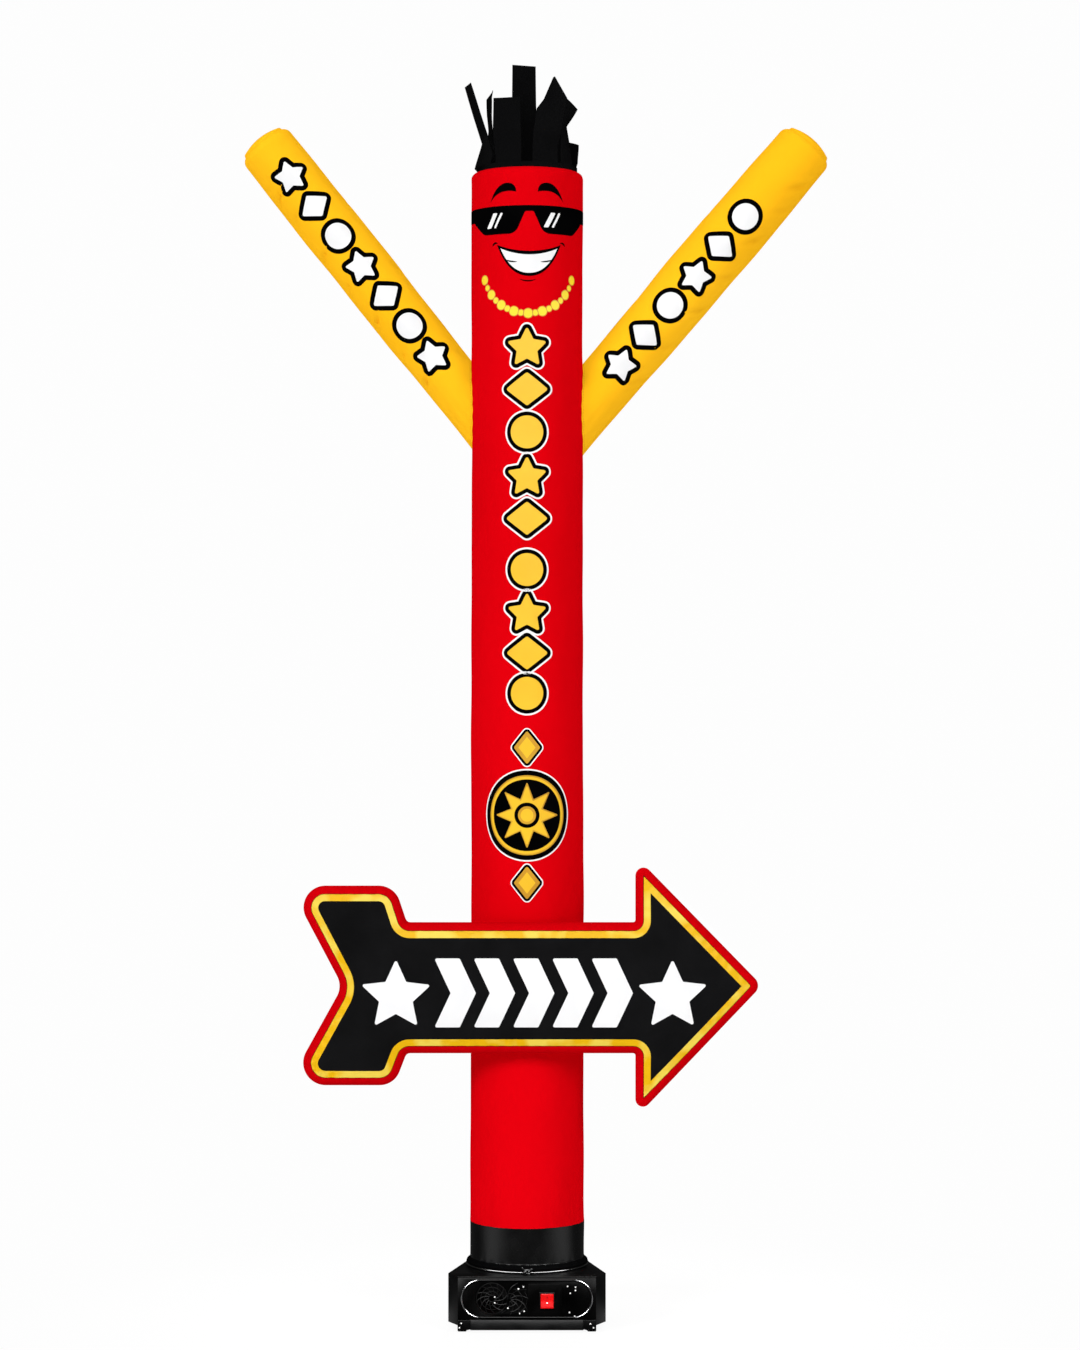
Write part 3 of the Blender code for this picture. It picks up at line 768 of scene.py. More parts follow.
def disc(x: float, z: float, radius: float, sides: int) -> Corners:
    """Corners of a polygon whose arcs make a circle, counterclockwise.

    Args:
        x: its middle.
        z: its middle.
        radius: the circle's radius.
        sides: how many arcs it has.

    Returns:
        The corners.
    """
    reach = radius / cos(pi / sides)
    return [(x + reach * cos(t), z + reach * sin(t), radius * 0.999) for t in round_turns(sides)]


def chevron(x: float, z: float, half_x: float, half_z: float, bar: float) -> Corners:
    """Corners of a chevron that points to +X, counterclockwise.

    Args:
        x: the middle of its box.
        z: the middle of its box.
        half_x: half its width.
        half_z: half its height.
        bar: width of its bars along X.

    Returns:
        The corners.
    """
    left, right = x - half_x, x + half_x
    places = [(left, z - half_z), (left + bar, z - half_z), (right, z), (left + bar, z + half_z),
              (left, z + half_z), (right - bar, z)]
    return [(*place, 0.004) for place in places]


# Prints


Layer = tuple[Palette, Outline]  # an ink and the outline that it fills


@dataclass
class Print:
    """Printed motifs on cloth: nested layers, the outermost first, one piece an ink."""

    name: str
    motifs: list[list[Layer]]
    step: float = 0.008

    def build(self, land: Landing) -> list[Piece]:
        """Lays every motif on the cloth.

        Args:
            land: gives the world place of across, up and lift on the cloth.

        Returns:
            One piece for each ink.
        """
        stock: dict[Palette, Shape] = {}
        for layers in self.motifs:
            outlines = [filled_in(outline, 0.8 * self.step) for _, outline in layers]
            spots, faces, owner = meshed(outlines, self.step, 0.5 * self.step)
            for number, (ink, _) in enumerate(layers):
                mine = [faces[i] for i in np.flatnonzero(owner == number)]
                if mine:
                    slab(spots, mine, land, stock.setdefault(ink, ([], [])))
        return [lay(f"{self.name}_{ink.name.lower()}", shape, ink) for ink, shape in stock.items()]


def slab(spots: Outline, faces: Faces, land: Landing, shape: Shape) -> None:
    """Adds a closed film of ink over flat faces to a shape.

    Args:
        spots: flat places.
        faces: the film's faces, counterclockwise from the front.
        land: gives the world place of across, up and lift on the cloth.
        shape: what it is added to.
    """
    points, known = shape
    used = sorted({i for face in faces for i in face})
    top = {spot: len(points) + n for n, spot in enumerate(used)}
    count = len(used)
    for lift in (INK, INK_FOOT):
        points += [land(spots[i].x, spots[i].y, lift) for i in used]
    first = [points[top[i]] for i in faces[0]]
    out = (first[1] - first[0]).cross(first[2] - first[0])
    backwards = out.dot(first[0] - points[top[faces[0][0]] + count]) < 0
    edges: dict[tuple[int, int], None] = {}
    for face in faces:
        ring = list(face)[::-1] if backwards else list(face)
        known += [[top[i] for i in ring], [top[i] + count for i in ring[::-1]]]
        edges.update(dict.fromkeys(zip(ring, ring[1:] + ring[:1])))
    rims = [(top[a], top[b]) for a, b in edges if (b, a) not in edges]
    known += [[a, a + count, b + count, b] for a, b in rims]


def outlined(corners: Corners, ink: Palette, line: float, halo: float = 0.0) -> list[Layer]:
    """A motif with a black line round it and maybe a white rim round that.

    Args:
        corners: the motif's corners.
        ink: its own colour.
        line: the black line's width.
        halo: the rim's width; 0 leaves it out.

    Returns:
        Its layers, the outermost first.
    """
    table = ((Palette.INK_WHITE, line + halo), (Palette.INK_BLACK, line))
    layers = [(colour, rounded(grown(corners, by), 0.004)) for colour, by in table]
    return layers[0 if halo else 1:] + [(ink, rounded(corners, 0.004))]


# Folds


@dataclass(frozen=True)
class Crease:
    """A soft trough in blown-up cloth with a slight ridge on each side."""

    along: float  # place of its middle, up or along the tube
    across: float  # place of its middle round the tube, as arc length
    depth: float
    slant: float  # degrees between it and the along direction
    half_length: float = 0.030
    half_width: float = 0.0072

    def sink(self, along: Array, across: Array) -> Array:
        """How far the cloth moves out; troughs are negative.

        Args:
            along: places up or along the tube.
            across: places round it, as arc length.

        Returns:
            Metres out at each place.
        """
        c, s = cos(radians(self.slant)), sin(radians(self.slant))
        up, side = along - self.along, across - self.across
        u = (c * up + s * side) / self.half_length
        v = (c * side - s * up) / self.half_width
        return -self.depth * np.exp(-(u**2) - v**2) * (1 - 0.9 * v**2)


def creased(*rows: tuple[float, ...]) -> tuple[Crease, ...]:
    """A crease for each row of its measures."""
    return tuple(Crease(*row) for row in rows)


class Sleeve:
    """A round cloth tube: its own radius, and folds that move its cloth in and out."""

    ripples: Table  # waves a turn, waves a metre, phase and height
    creases: tuple[Crease, ...]

    def radius(self, along: Array) -> Array:
        """The tube's own radius, without folds."""
        raise NotImplementedError

    def fold(self, turn: Array, along: Array) -> Array:
        """How far ripples and creases move the cloth out.

        Args:
            turn: angles round the tube.
            along: places along it.

        Returns:
            Metres out, negative in a trough.
        """
        size = self.radius(along)
        moved = np.zeros(np.broadcast(turn, along).shape)
        for around, length, phase, height in self.ripples:
            moved = moved + height * np.cos(around * turn + tau * length * along + phase)
        for crease in self.creases:
            moved = moved + crease.sink(along, turn * size)
        return moved

    def wall(self, turn: float, along: float) -> float:
        """How far the cloth is from the tube's axis, folds included."""
        return float(self.radius(np.array(along)) + self.fold(np.array(turn), np.array(along)))


# Cloth tubes


@dataclass
class BodyTube(Sleeve):
    """The red tube with its rounded head and its back seam."""

    girth: tuple[Span, ...] = (
        (0.2665, 0.1550), (0.420, 0.1543), (0.620, 0.1533), (0.920, 0.1526), (1.240, 0.1518),
        (2.020, 0.1513), (2.850, 0.1518), (3.091, 0.1524),
    )
    columns: int = 112
    foot: float = 0.2665
    head_top: float = 3.110
    head_corner: float = 0.019
    head_seam: float = 3.103
    seam_angle: float = 80.0
    ripples: Table = (
        (2, 0.35, 0.3, 0.0007), (3, -0.9, 1.9, 0.0006), (5, 1.7, 4.1, 0.00045),
        (8, -2.9, 2.2, 0.0003), (4, 4.3, 0.9, 0.0003), (11, 3.1, 5.2, 0.00018),
    )
    creases: tuple[Crease, ...] = creased(
        (0.700, -0.075, 0.0016, 62, 0.060, 0.018), (0.690, 0.090, 0.0016, -58, 0.055, 0.016),
        (1.170, 0.125, 0.0014, 35, 0.050, 0.015), (2.960, -0.100, 0.0012, -20, 0.050, 0.014),
        (2.985, 0.115, 0.0012, 24, 0.045, 0.013), (2.380, 0.150, 0.0020, -48, 0.060, 0.014),
        (2.390, -0.150, 0.0020, 50, 0.060, 0.014), (0.330, -0.110, 0.0012, 8, 0.040, 0.010),
        (0.325, 0.055, 0.0010, -10, 0.035, 0.010), (0.330, 0.160, 0.0012, 6, 0.040, 0.011),
    )
    arm_seams: tuple[Triple, ...] = ((-1.872, 2.484, 0.094), (1.872, 2.474, 0.102))
    sign_port: Span = (0.9186, 0.026)  # its height and radius

    def radius(self, along: Array) -> Array:
        """The tube's own radius at a height, without folds."""
        return np.interp(along, *zip(*self.girth))

    def fold(self, turn: Array, along: Array) -> Array:
        """How far the folds and the seams' gathers move the cloth out.

        Args:
            turn: angles round the tube.
            along: heights.

        Returns:
            Metres out, negative in a trough.
        """
        size = self.radius(along)
        moved = super().fold(turn, along)
        hem = np.exp(-(along - self.foot) / 0.022)
        moved = moved + 0.0009 * hem * np.cos(23 * turn + 1.1 * np.sin(5 * turn))
        head = np.exp(-np.abs(self.head_seam - along) / 0.022)
        moved = moved + 0.0008 * head * np.cos(27 * turn + 1.4 * np.sin(4 * turn + 1))
        for middle, level, ring in self.arm_seams:
            side, up = (turn - middle) * size, along - level
            away = np.maximum(np.hypot(side, up * 0.8) - ring, -0.01)
            pull = 0.0006 * np.exp(-np.maximum(away, 0) / 0.030)
            moved = moved + pull * np.cos(15 * np.arctan2(up, side) + 0.6)
        return moved * np.clip((self.head_top - along) / 0.012, 0.15, 1.0)

    def land(self, across: float, up: float, lift: float) -> Vector:
        """The world place at an arc length from the front, a height and a lift."""
        return round_axis(self.wall(across / TUBE, up) + lift, across / TUBE, up)

    def profile(self) -> tuple[Array, Array]:
        """Works out the rows of the cloth.

        Returns:
            Their heights, and how far each lies inside the tube's own radius.
        """
        runs = ((self.foot, 0.350, 0.006), (0.350, 2.990, 0.0115), (2.990, 3.089, 0.007))
        side = np.concatenate([np.arange(*run) for run in runs])
        turns = np.radians(np.linspace(0.0, self.seam_angle, 14))
        corner = self.head_top - self.head_corner
        heights = np.concatenate([side, corner + self.head_corner * np.sin(turns)])
        return heights, np.concatenate([0 * side, self.head_corner * (1 - np.cos(turns))])

    def build(self) -> Piece:
        """Makes the tube's cloth.

        Returns:
            The piece.
        """
        heights, inward = self.profile()
        points, faces = ringed(
            heights, self.columns, lambda t, z: self.radius(z) + self.fold(t, z) - inward[:, None]
        )
        kept = [face for face in faces if not self.open_at(points, face)]
        tube = thicken(lay("tube_cloth", (points, kept), Palette.RED))
        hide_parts("body_tube")
        return tube

    def open_at(self, points: Points, face: list[int]) -> bool:
        """Whether a face lies where air passes into an arm or into the sign.

        Args:
            points: the cloth's points.
            face: the face's point numbers.

        Returns:
            True where the cloth is open.
        """
        middle = sum((points[i] for i in face), Vector()) / 4 - AXIS
        height, size = self.sign_port
        if hypot(middle.x, middle.z - height) < size and middle.y < 0:
            return True
        return any(arm.breathes(middle) for arm in ARMS)

    def build_seam(self) -> list[Piece]:
        """Makes the felled seam up the back with its two rows of stitches.

        Returns:
            The tape and the thread.
        """
        heights = np.arange(0.270, 3.085, 0.03)
        section = ((-0.0075, 0.0002), (-0.0062, 0.0009), (0.0062, 0.0011), (0.0075, 0.0002),
                   (0.0062, 0.0001), (-0.0062, 0.0001))
        points = [self.land(TUBE * pi + u, float(z), w) for z in heights for u, w in section]
        faces = grid_faces(len(heights), 6)
        faces += [list(range(6))[::-1], list(range(len(points) - 6, len(points)))]
        tape = lay("tube_back_seam", (points, faces), Palette.RED, smooth=50.0)
        levels = np.arange(0.272, 3.083, 0.0035)
        rows = [[self.land(TUBE * pi + side, float(z), 0.0010) for z in levels]
                for side in (-0.0045, 0.0045)]
        return [tape, stitches("tube_back_stitches", rows, self.outward, Palette.THREAD_RED)]

    def outward(self, place: Vector) -> Vector:
        """The direction straight out of the tube at a place."""
        off = place - AXIS
        return Vector((off.x, off.y, 0)).normalized()


def stitches(
    name: str, rows: Sequence[Points], outward: Callable[[Vector], Vector], finish: Palette
) -> Piece:
    """Short threads that lie on every other step of each row.

    Args:
        name: the piece's name.
        rows: places along each row.
        outward: gives the direction out of the cloth at a place.
        finish: the thread's finish.

    Returns:
        The piece.
    """
    width, height = 0.0007, 0.0005  # half a thread's width, and how far it stands out
    threads: list[Shape] = []
    faces = [[0, 2, 6], [0, 6, 4], [1, 7, 3], [1, 5, 7], [2, 3, 7, 6], [4, 6, 7, 5],
             [0, 4, 5, 1], [0, 1, 3, 2]]
    for row in rows:
        for a, b in zip(row[::2], row[1::2]):
            out = outward(a)
            side = (b - a).normalized().cross(out).normalized() * width
            rise = out * height
            points = [a, b, a + side + rise * 0.2, b + side + rise * 0.2]
            points += [a - side + rise * 0.2, b - side + rise * 0.2]
            middle, run = (a + b) / 2 + rise, (b - a) * 0.25
            threads.append((points + [middle - run, middle + run], faces))
    return lay(name, joined(threads), finish, smooth=80.0)


@dataclass
class Arm(Sleeve):
    """A yellow arm: a cloth tube sewn to the body tube, with a domed end."""

    name: str
    root: Span  # where its axis starts, in x and z from the tube's axis
    end: Span
    radii: tuple[float, ...]
    rise: float
    creases: tuple[Crease, ...]
    ripples: Table = (
        (2, 0.9, 0.4, 0.0008), (3, -2.1, 2.0, 0.0006), (5, 3.3, 1.2, 0.0004), (4, 5.6, 3.9, 0.0004),
    )
    back: float = 0.045
    corner: float = 0.022
    shoulder: float = 0.004
    lip: float = 0.020  # how much smaller its mouth is
    columns: int = 80
    rows: int = 92

    def root_place(self) -> Vector:
        """Where the arm's axis starts, from the tube's axis."""
        return Vector((self.root[0], self.back, self.root[1]))

    def out(self) -> Vector:
        """The direction along the arm, away from the tube."""
        return Vector((self.end[0] - self.root[0], 0, self.end[1] - self.root[1])).normalized()

    def up(self) -> Vector:
        """The direction across the arm in the front plane, upwards."""
        across = Vector((-self.out().z, 0, self.out().x))
        return across if across.z > 0 else -across

    def length(self) -> float:
        """From the root to the end's shoulder."""
        return hypot(self.end[0] - self.root[0], self.end[1] - self.root[1]) + self.shoulder

    def radius(self, along: Array) -> Array:
        """The arm's own radius at a distance from its root."""
        places = [share * (self.length() - self.shoulder) for share in (0.0, 0.25, 0.5, 0.75, 1.0)]
        return np.interp(along, places, self.radii)

    def fold(self, turn: Array, along: Array) -> Array:
        """How far the folds and the root's gathers move the cloth out.

        Args:
            turn: angles up from the front.
            along: distances from the root.

        Returns:
            Metres out, negative in a trough.
        """
        turn = np.arctan2(np.sin(turn), np.cos(turn))
        root = np.exp(-np.maximum(along, 0) / 0.035)
        gather = 0.0011 * root * np.cos(17 * turn + 0.8 * np.sin(3 * turn))
        return super().fold(turn, along) + gather

    def aside(self, place: Vector) -> Vector:
        """How far a place, given from the tube's axis, is off the arm's axis."""
        off = place - self.root_place()
        return off - self.out() * off.dot(self.out())

    def breathes(self, place: Vector) -> bool:
        """Whether air passes into the arm at a place, given from the tube's axis."""
        mouth = self.radii[0] - self.lip
        return self.aside(place).length < mouth and place.x * self.root[0] > 0

    def place(self, turn: float, along: float, reach: float) -> Vector:
        """The place at an angle, a distance along and a distance from the arm's axis."""
        ring = Vector((0, -1, 0)) * cos(turn) + self.up() * sin(turn)
        return AXIS + self.root_place() + self.out() * along + ring * reach

    def start(self, turn: float, tube: BodyTube) -> float:
        """How far along the arm's cloth meets the tube's, at an angle.

        Args:
            turn: the angle up from the front.
            tube: the body tube.

        Returns:
            The distance along the arm.
        """
        along = 0.0
        for _ in range(12):
            spot = self.place(turn, along, self.radii[0]) - AXIS
            wall = tube.wall(atan2(spot.x, -spot.y), spot.z) + 0.0004
            goal = copysign(sqrt(max(wall**2 - spot.y**2, 1e-6)), self.root[0])
            along += (goal - spot.x) / self.out().x
        return along

    def end_rows(self) -> list[Span]:
        """Works out the rings of the rounded shoulder and the shallow dome.

        Returns:
            Each ring's radius and its distance along the arm.
        """
        last, length = self.radii[-1], self.length()
        turns = [radians(angle) for angle in (12, 24, 36, 48, 58, 66)]
        rings = [(last - self.corner + self.corner * cos(t), length + self.corner * sin(t))
                 for t in turns]
        edge, foot = rings[-1][0] / last, rings[-1][1]
        shares = (0.80, 0.72, 0.62, 0.52, 0.42, 0.30, 0.18, 0.07)
        dome = [(last * s, foot + self.rise * (1 - s**2) * 0.98) for s in shares if s < edge]
        return rings + dome + [(0.0, foot + self.rise)]

    def build(self, tube: BodyTube) -> Piece:
        """Makes the arm's cloth, scribed to the tube.

        Args:
            tube: the body tube.

        Returns:
            The piece.
        """
        sign = 1 if self.up().cross(Vector((0, -1, 0))).dot(self.out()) < 0 else -1
        turns = sign * np.linspace(0, tau, self.columns, endpoint=False)
        length = self.length()
        starts = [self.start(t, tube) for t in turns]
        points: Points = []
        for share in (row / self.rows for row in range(self.rows + 1)):
            for t, first in zip(turns, starts):
                along = first + (length - first) * share
                points.append(self.place(t, along, self.wall(t, along)))
        folds = self.fold(turns, np.array(length))
        *rings, (_, top) = self.end_rows()
        for reach, along in rings:
            calm = (reach / self.radii[-1]) ** 3
            points += [self.place(t, along, reach + float(f) * calm) for t, f in zip(turns, folds)]
        faces = grid_faces(self.rows + 1 + len(rings), self.columns)
        tip = len(points)
        points.append(self.place(0, top, 0))
        ring = tip - self.columns
        faces += [[ring + k, ring + (k + 1) % self.columns, tip] for k in range(self.columns)]
        arm = thicken(lay(f"{self.name}_cloth", (points, faces), Palette.YELLOW))
        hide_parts(self.name)
        return arm

    def build_seam(self, tube: BodyTube) -> Piece:
        """Makes the row of stitches round the arm, next to the tube.

        Args:
            tube: the body tube.

        Returns:
            The piece.
        """
        path = []
        for turn in round_turns(190):
            first = self.start(turn, tube) + 0.006
            path.append(self.place(turn, first, self.wall(turn, first) + 0.0001))
        return stitches(f"{self.name}_stitches", [path], self.outward, Palette.THREAD_YELLOW)

    def outward(self, place: Vector) -> Vector:
        """The direction straight out of the arm at a place."""
        return self.aside(place - AXIS).normalized()

    def land(self, first: float, way: int, across: float, up: float, lift: float) -> Vector:
        """The world place of a flat place in a print on the arm's front.

        Args:
            first: where the print starts, along the arm.
            way: 1 if it reads away from the tube, -1 towards it.
            across: the flat place along the print.
            up: the flat place across the arm.
            lift: how far out of the cloth.

        Returns:
            The place.
        """
        along = first + way * across
        turn = up / float(self.radius(np.array(along)))
        return self.place(turn, along, self.wall(turn, along) + lift)


ARMS = (
    Arm(
        "arm_left", (-0.1518, 2.484), (-0.7038, 3.178), (0.0735, 0.0770, 0.0785, 0.0792, 0.0780), 0.021,
        creased(
            (0.760, -0.072, 0.0092, 52), (0.690, -0.070, 0.0059, 48), (0.560, -0.080, 0.0097, 56),
            (0.455, -0.078, 0.0070, 50), (0.330, -0.078, 0.0092, 58), (0.215, -0.076, 0.0065, 50),
            (0.120, -0.074, 0.0076, 54), (0.130, 0.078, 0.0029, -40, 0.030, 0.0090),
            (0.420, 0.100, 0.0026, -36, 0.034, 0.0100), (0.660, 0.105, 0.0026, -40, 0.034, 0.0100),
        ),
    ),
    Arm(
        "arm_right", (0.1542, 2.474), (0.7492, 3.175), (0.0803, 0.0832, 0.0855, 0.0852, 0.0815), 0.023,
        creased(
            (0.830, -0.066, 0.0092, -50), (0.755, -0.078, 0.0076, -55), (0.640, -0.070, 0.0092, -48),
            (0.520, -0.082, 0.0081, -54), (0.400, -0.078, 0.0086, -50), (0.270, -0.080, 0.0070, -52),
            (0.150, -0.082, 0.0076, -48), (0.300, 0.104, 0.0026, 40, 0.034, 0.0100),
            (0.600, 0.108, 0.0026, 36, 0.034, 0.0100),
        ),
    ),
)


# Arrow sign


@dataclass
class ArrowSign:
    """The arrow-shaped cushion on the tube's front, with its printed border and field."""

    corners: tuple[Triple, ...] = (
        (-0.4911, 0.9186, 0.056), (-0.6329, 1.1863, 0.058), (-0.3524, 1.1863, 0.059),
        (-0.3198, 1.0890, 0.013), (0.2888, 1.0890, 0.006), (0.2888, 1.2657, 0.0215),
        (0.6257, 0.9205, 0.027), (0.2888, 0.5680, 0.0200), (0.2888, 0.7404, 0.006),
        (-0.3202, 0.7404, 0.013), (-0.3533, 0.6552, 0.056), (-0.6375, 0.6552, 0.060),
    )
    plane: float = -0.190
    crown: float = 0.045
    seam: float = 0.0012
    step: float = 0.0095
    border: float = 0.0222
    line: float = 0.0178
    edging: float = 0.0014
    pucker_pitch: float = 0.034
    pucker_depth: float = 0.0030
    pucker_middle: float = 0.018  # how far from the rim they are deepest
    pucker_reach: float = 0.024

    def outlines(self) -> list[Outline]:
        """Works out every outline on the front.

        Returns:
            The cushion's, those of its edging, line, edging and field, and the white shapes'.
        """
        clockwise = list(self.corners)[::-1]
        insets = (0.0, self.border - self.edging, self.border, self.border + self.line,
                  self.border + self.line + self.edging)
        shapes = [grown(clockwise, -by) for by in insets]
        shapes.append(star(-0.347, 0.896, 5, 0.098, 0.047))
        shapes += [chevron(-0.190 + 0.104 * k, 0.9045, 0.055, 0.0915, 0.067) for k in range(5)]
        shapes.append(star(0.386, 0.896, 5, 0.098, 0.047))
        return [filled_in(rounded(shape, 0.5 * self.step), self.step * 0.9) for shape in shapes]

    def lift(self, flat: Array, tri: Array, rim: int) -> Array:
        """Heights of a film blown up over the flat mesh, with puckers along its rim.

        Args:
            flat: the flat points, the rim's first.
            tri: triangles.
            rim: how many points lie on the rim.

        Returns:
            A height for each point.
        """
        i, j, far = (np.roll(tri, -k, axis=1).T.ravel() for k in range(3))
        u, v = flat[i] - flat[far], flat[j] - flat[far]
        area = 0.5 * np.abs(u[:, 0] * v[:, 1] - u[:, 1] * v[:, 0])
        load, w = np.bincount(i, area / 3, len(flat)), (u * v).sum(axis=1) / (4 * area)
        free = np.arange(len(flat)) >= rim

        def pull(x: Array) -> Array:
            """The film's tension at each point.

            Args:
                x: the points' heights.

            Returns:
                The tension, none on the rim.
            """
            step = w * (x[i] - x[j])
            total = np.bincount(i, step, len(x)) - np.bincount(j, step, len(x))
            return np.where(free, total, 0.0)

        height, rest = np.zeros(len(flat)), np.where(free, load, 0.0)
        way, power = rest.copy(), rest @ rest
        for _ in range(1500):
            drawn = pull(way)
            share = power / (way @ drawn)
            height, rest = height + share * way, rest - share * drawn
            new = rest @ rest
            if new < 1e-22:
                break
            way, power = rest + (new / power) * way, new
        height = self.crown * np.sqrt(np.maximum(height, 0) / height.max())
        return height + self.puckers(flat, rim) * np.minimum(height / 0.010, 1.0)

    def puckers(self, flat: Array, rim: int) -> Array:
        """The gathers that the rim's seam draws into the cloth.

        Args:
            flat: the flat points, the rim's first.
            rim: how many points lie on the rim.

        Returns:
            How far each point moves out.
        """
        edge = flat[:rim]
        reach = np.hypot(*(np.roll(edge, -1, axis=0) - edge).T)
        run = np.concatenate([[0.0], np.cumsum(reach)[:-1]])
        gap = np.hypot(flat[:, None, 0] - edge[None, :, 0], flat[:, None, 1] - edge[None, :, 1])
        near, away = run[gap.argmin(axis=1)], gap.min(axis=1)
        phase = tau * near / self.pucker_pitch
        phase = phase + 1.7 * np.sin(near * 7.3) + 1.1 * np.sin(near * 17.9)
        strength = 0.55 + 0.45 * np.sin(near * 11.0 + 0.7)
        fade = np.exp(-(((away - self.pucker_middle) / self.pucker_reach) ** 2))
        return self.pucker_depth * strength * fade * np.cos(phase)

    def behind(self, spot: Vector, height: float, tube: BodyTube) -> Vector:
        """The place of the back cloth, which lies against the tube.

        Args:
            spot: the flat place.
            height: the film's height there.
            tube: the body tube.

        Returns:
            The place.
        """
        y = self.plane + self.seam + height
        if abs(spot.x) < 0.15:
            wall = tube.wall(asin(spot.x / 0.1525), spot.y) + 0.0006
            if hypot(spot.x, y) < wall:
                y = -sqrt(wall**2 - spot.x**2)
        return at(spot.x, max(y, self.plane + self.seam), spot.y)

    def build(self, tube: BodyTube) -> list[Piece]:
        """Makes the cushion and its prints.

        Args:
            tube: the body tube that it lies on.

        Returns:
            The cushion, then the prints.
        """
        outlines = self.outlines()
        rim = len(outlines[0])
        spots, triangles, owner = meshed(outlines, self.step, 0.55 * self.step)
        faces = [list(triangles[i]) for i in np.flatnonzero(owner >= 0)]
        lift = self.lift(np.array([tuple(p) for p in spots]), np.array(faces), rim)
        front = [at(p.x, self.plane - self.seam - h, p.y) for p, h in zip(spots, lift)]
        back = [self.behind(p, h, tube) for p, h in zip(spots, lift)]
        count = len(spots)
        rear = [[count + i for i in face[::-1]] for face in faces]
        edge = [[(i + 1) % rim, i, count + i, count + (i + 1) % rim] for i in range(rim)]
        cushion = lay("arrow_cushion", (front + back, faces + rear + edge), Palette.SIGN_RED)
        face_out(cushion)
        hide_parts("arrow_sign")
        return [cushion, *self.prints(front, faces, owner[owner >= 0])]

    def prints(self, front: Points, faces: Faces, owner: Array) -> list[Piece]:
        """Makes the inks on the front: edgings and field, the yellow line with its painted sheen, the
        white shapes.

        Args:
            front: the front cloth's points.
            faces: its faces.
            owner: the number of the outline that holds each face.

        Returns:
            The pieces.
        """
        normals = [Vector() for _ in front]
        for face in faces:
            a, b, c = (front[i] for i in face)
            out = (b - a).cross(c - a)
            for i in face:
                normals[i] += out if out.y < 0 else -out

        def land(number: float, _: float, lift: float) -> Vector:
            """The world place over a numbered point of the front cloth."""
            return front[round(number)] + normals[round(number)].normalized() * lift

        made = []
        for name, ink, numbers in (
            ("arrow_field", Palette.INK_FIELD, (1, 3, 4)),
            # the yellow line's ink carries painted sheen
            ("arrow_line", Palette.INK_PAINTED_SHEEN, (2,)),
            ("arrow_shapes", Palette.INK_WHITE, range(5, 12)),
        ):
            mine = [face for face, number in zip(faces, owner) if number in numbers]
            index = {i: n for n, i in enumerate(sorted({i for face in mine for i in face}))}
            shape: Shape = ([], [])
            flat = [Vector((i, 0.0)) for i in index]
            slab(flat, [[index[i] for i in face] for face in mine], land, shape)
            made.append(lay(name, shape, ink))
        return made


# Head


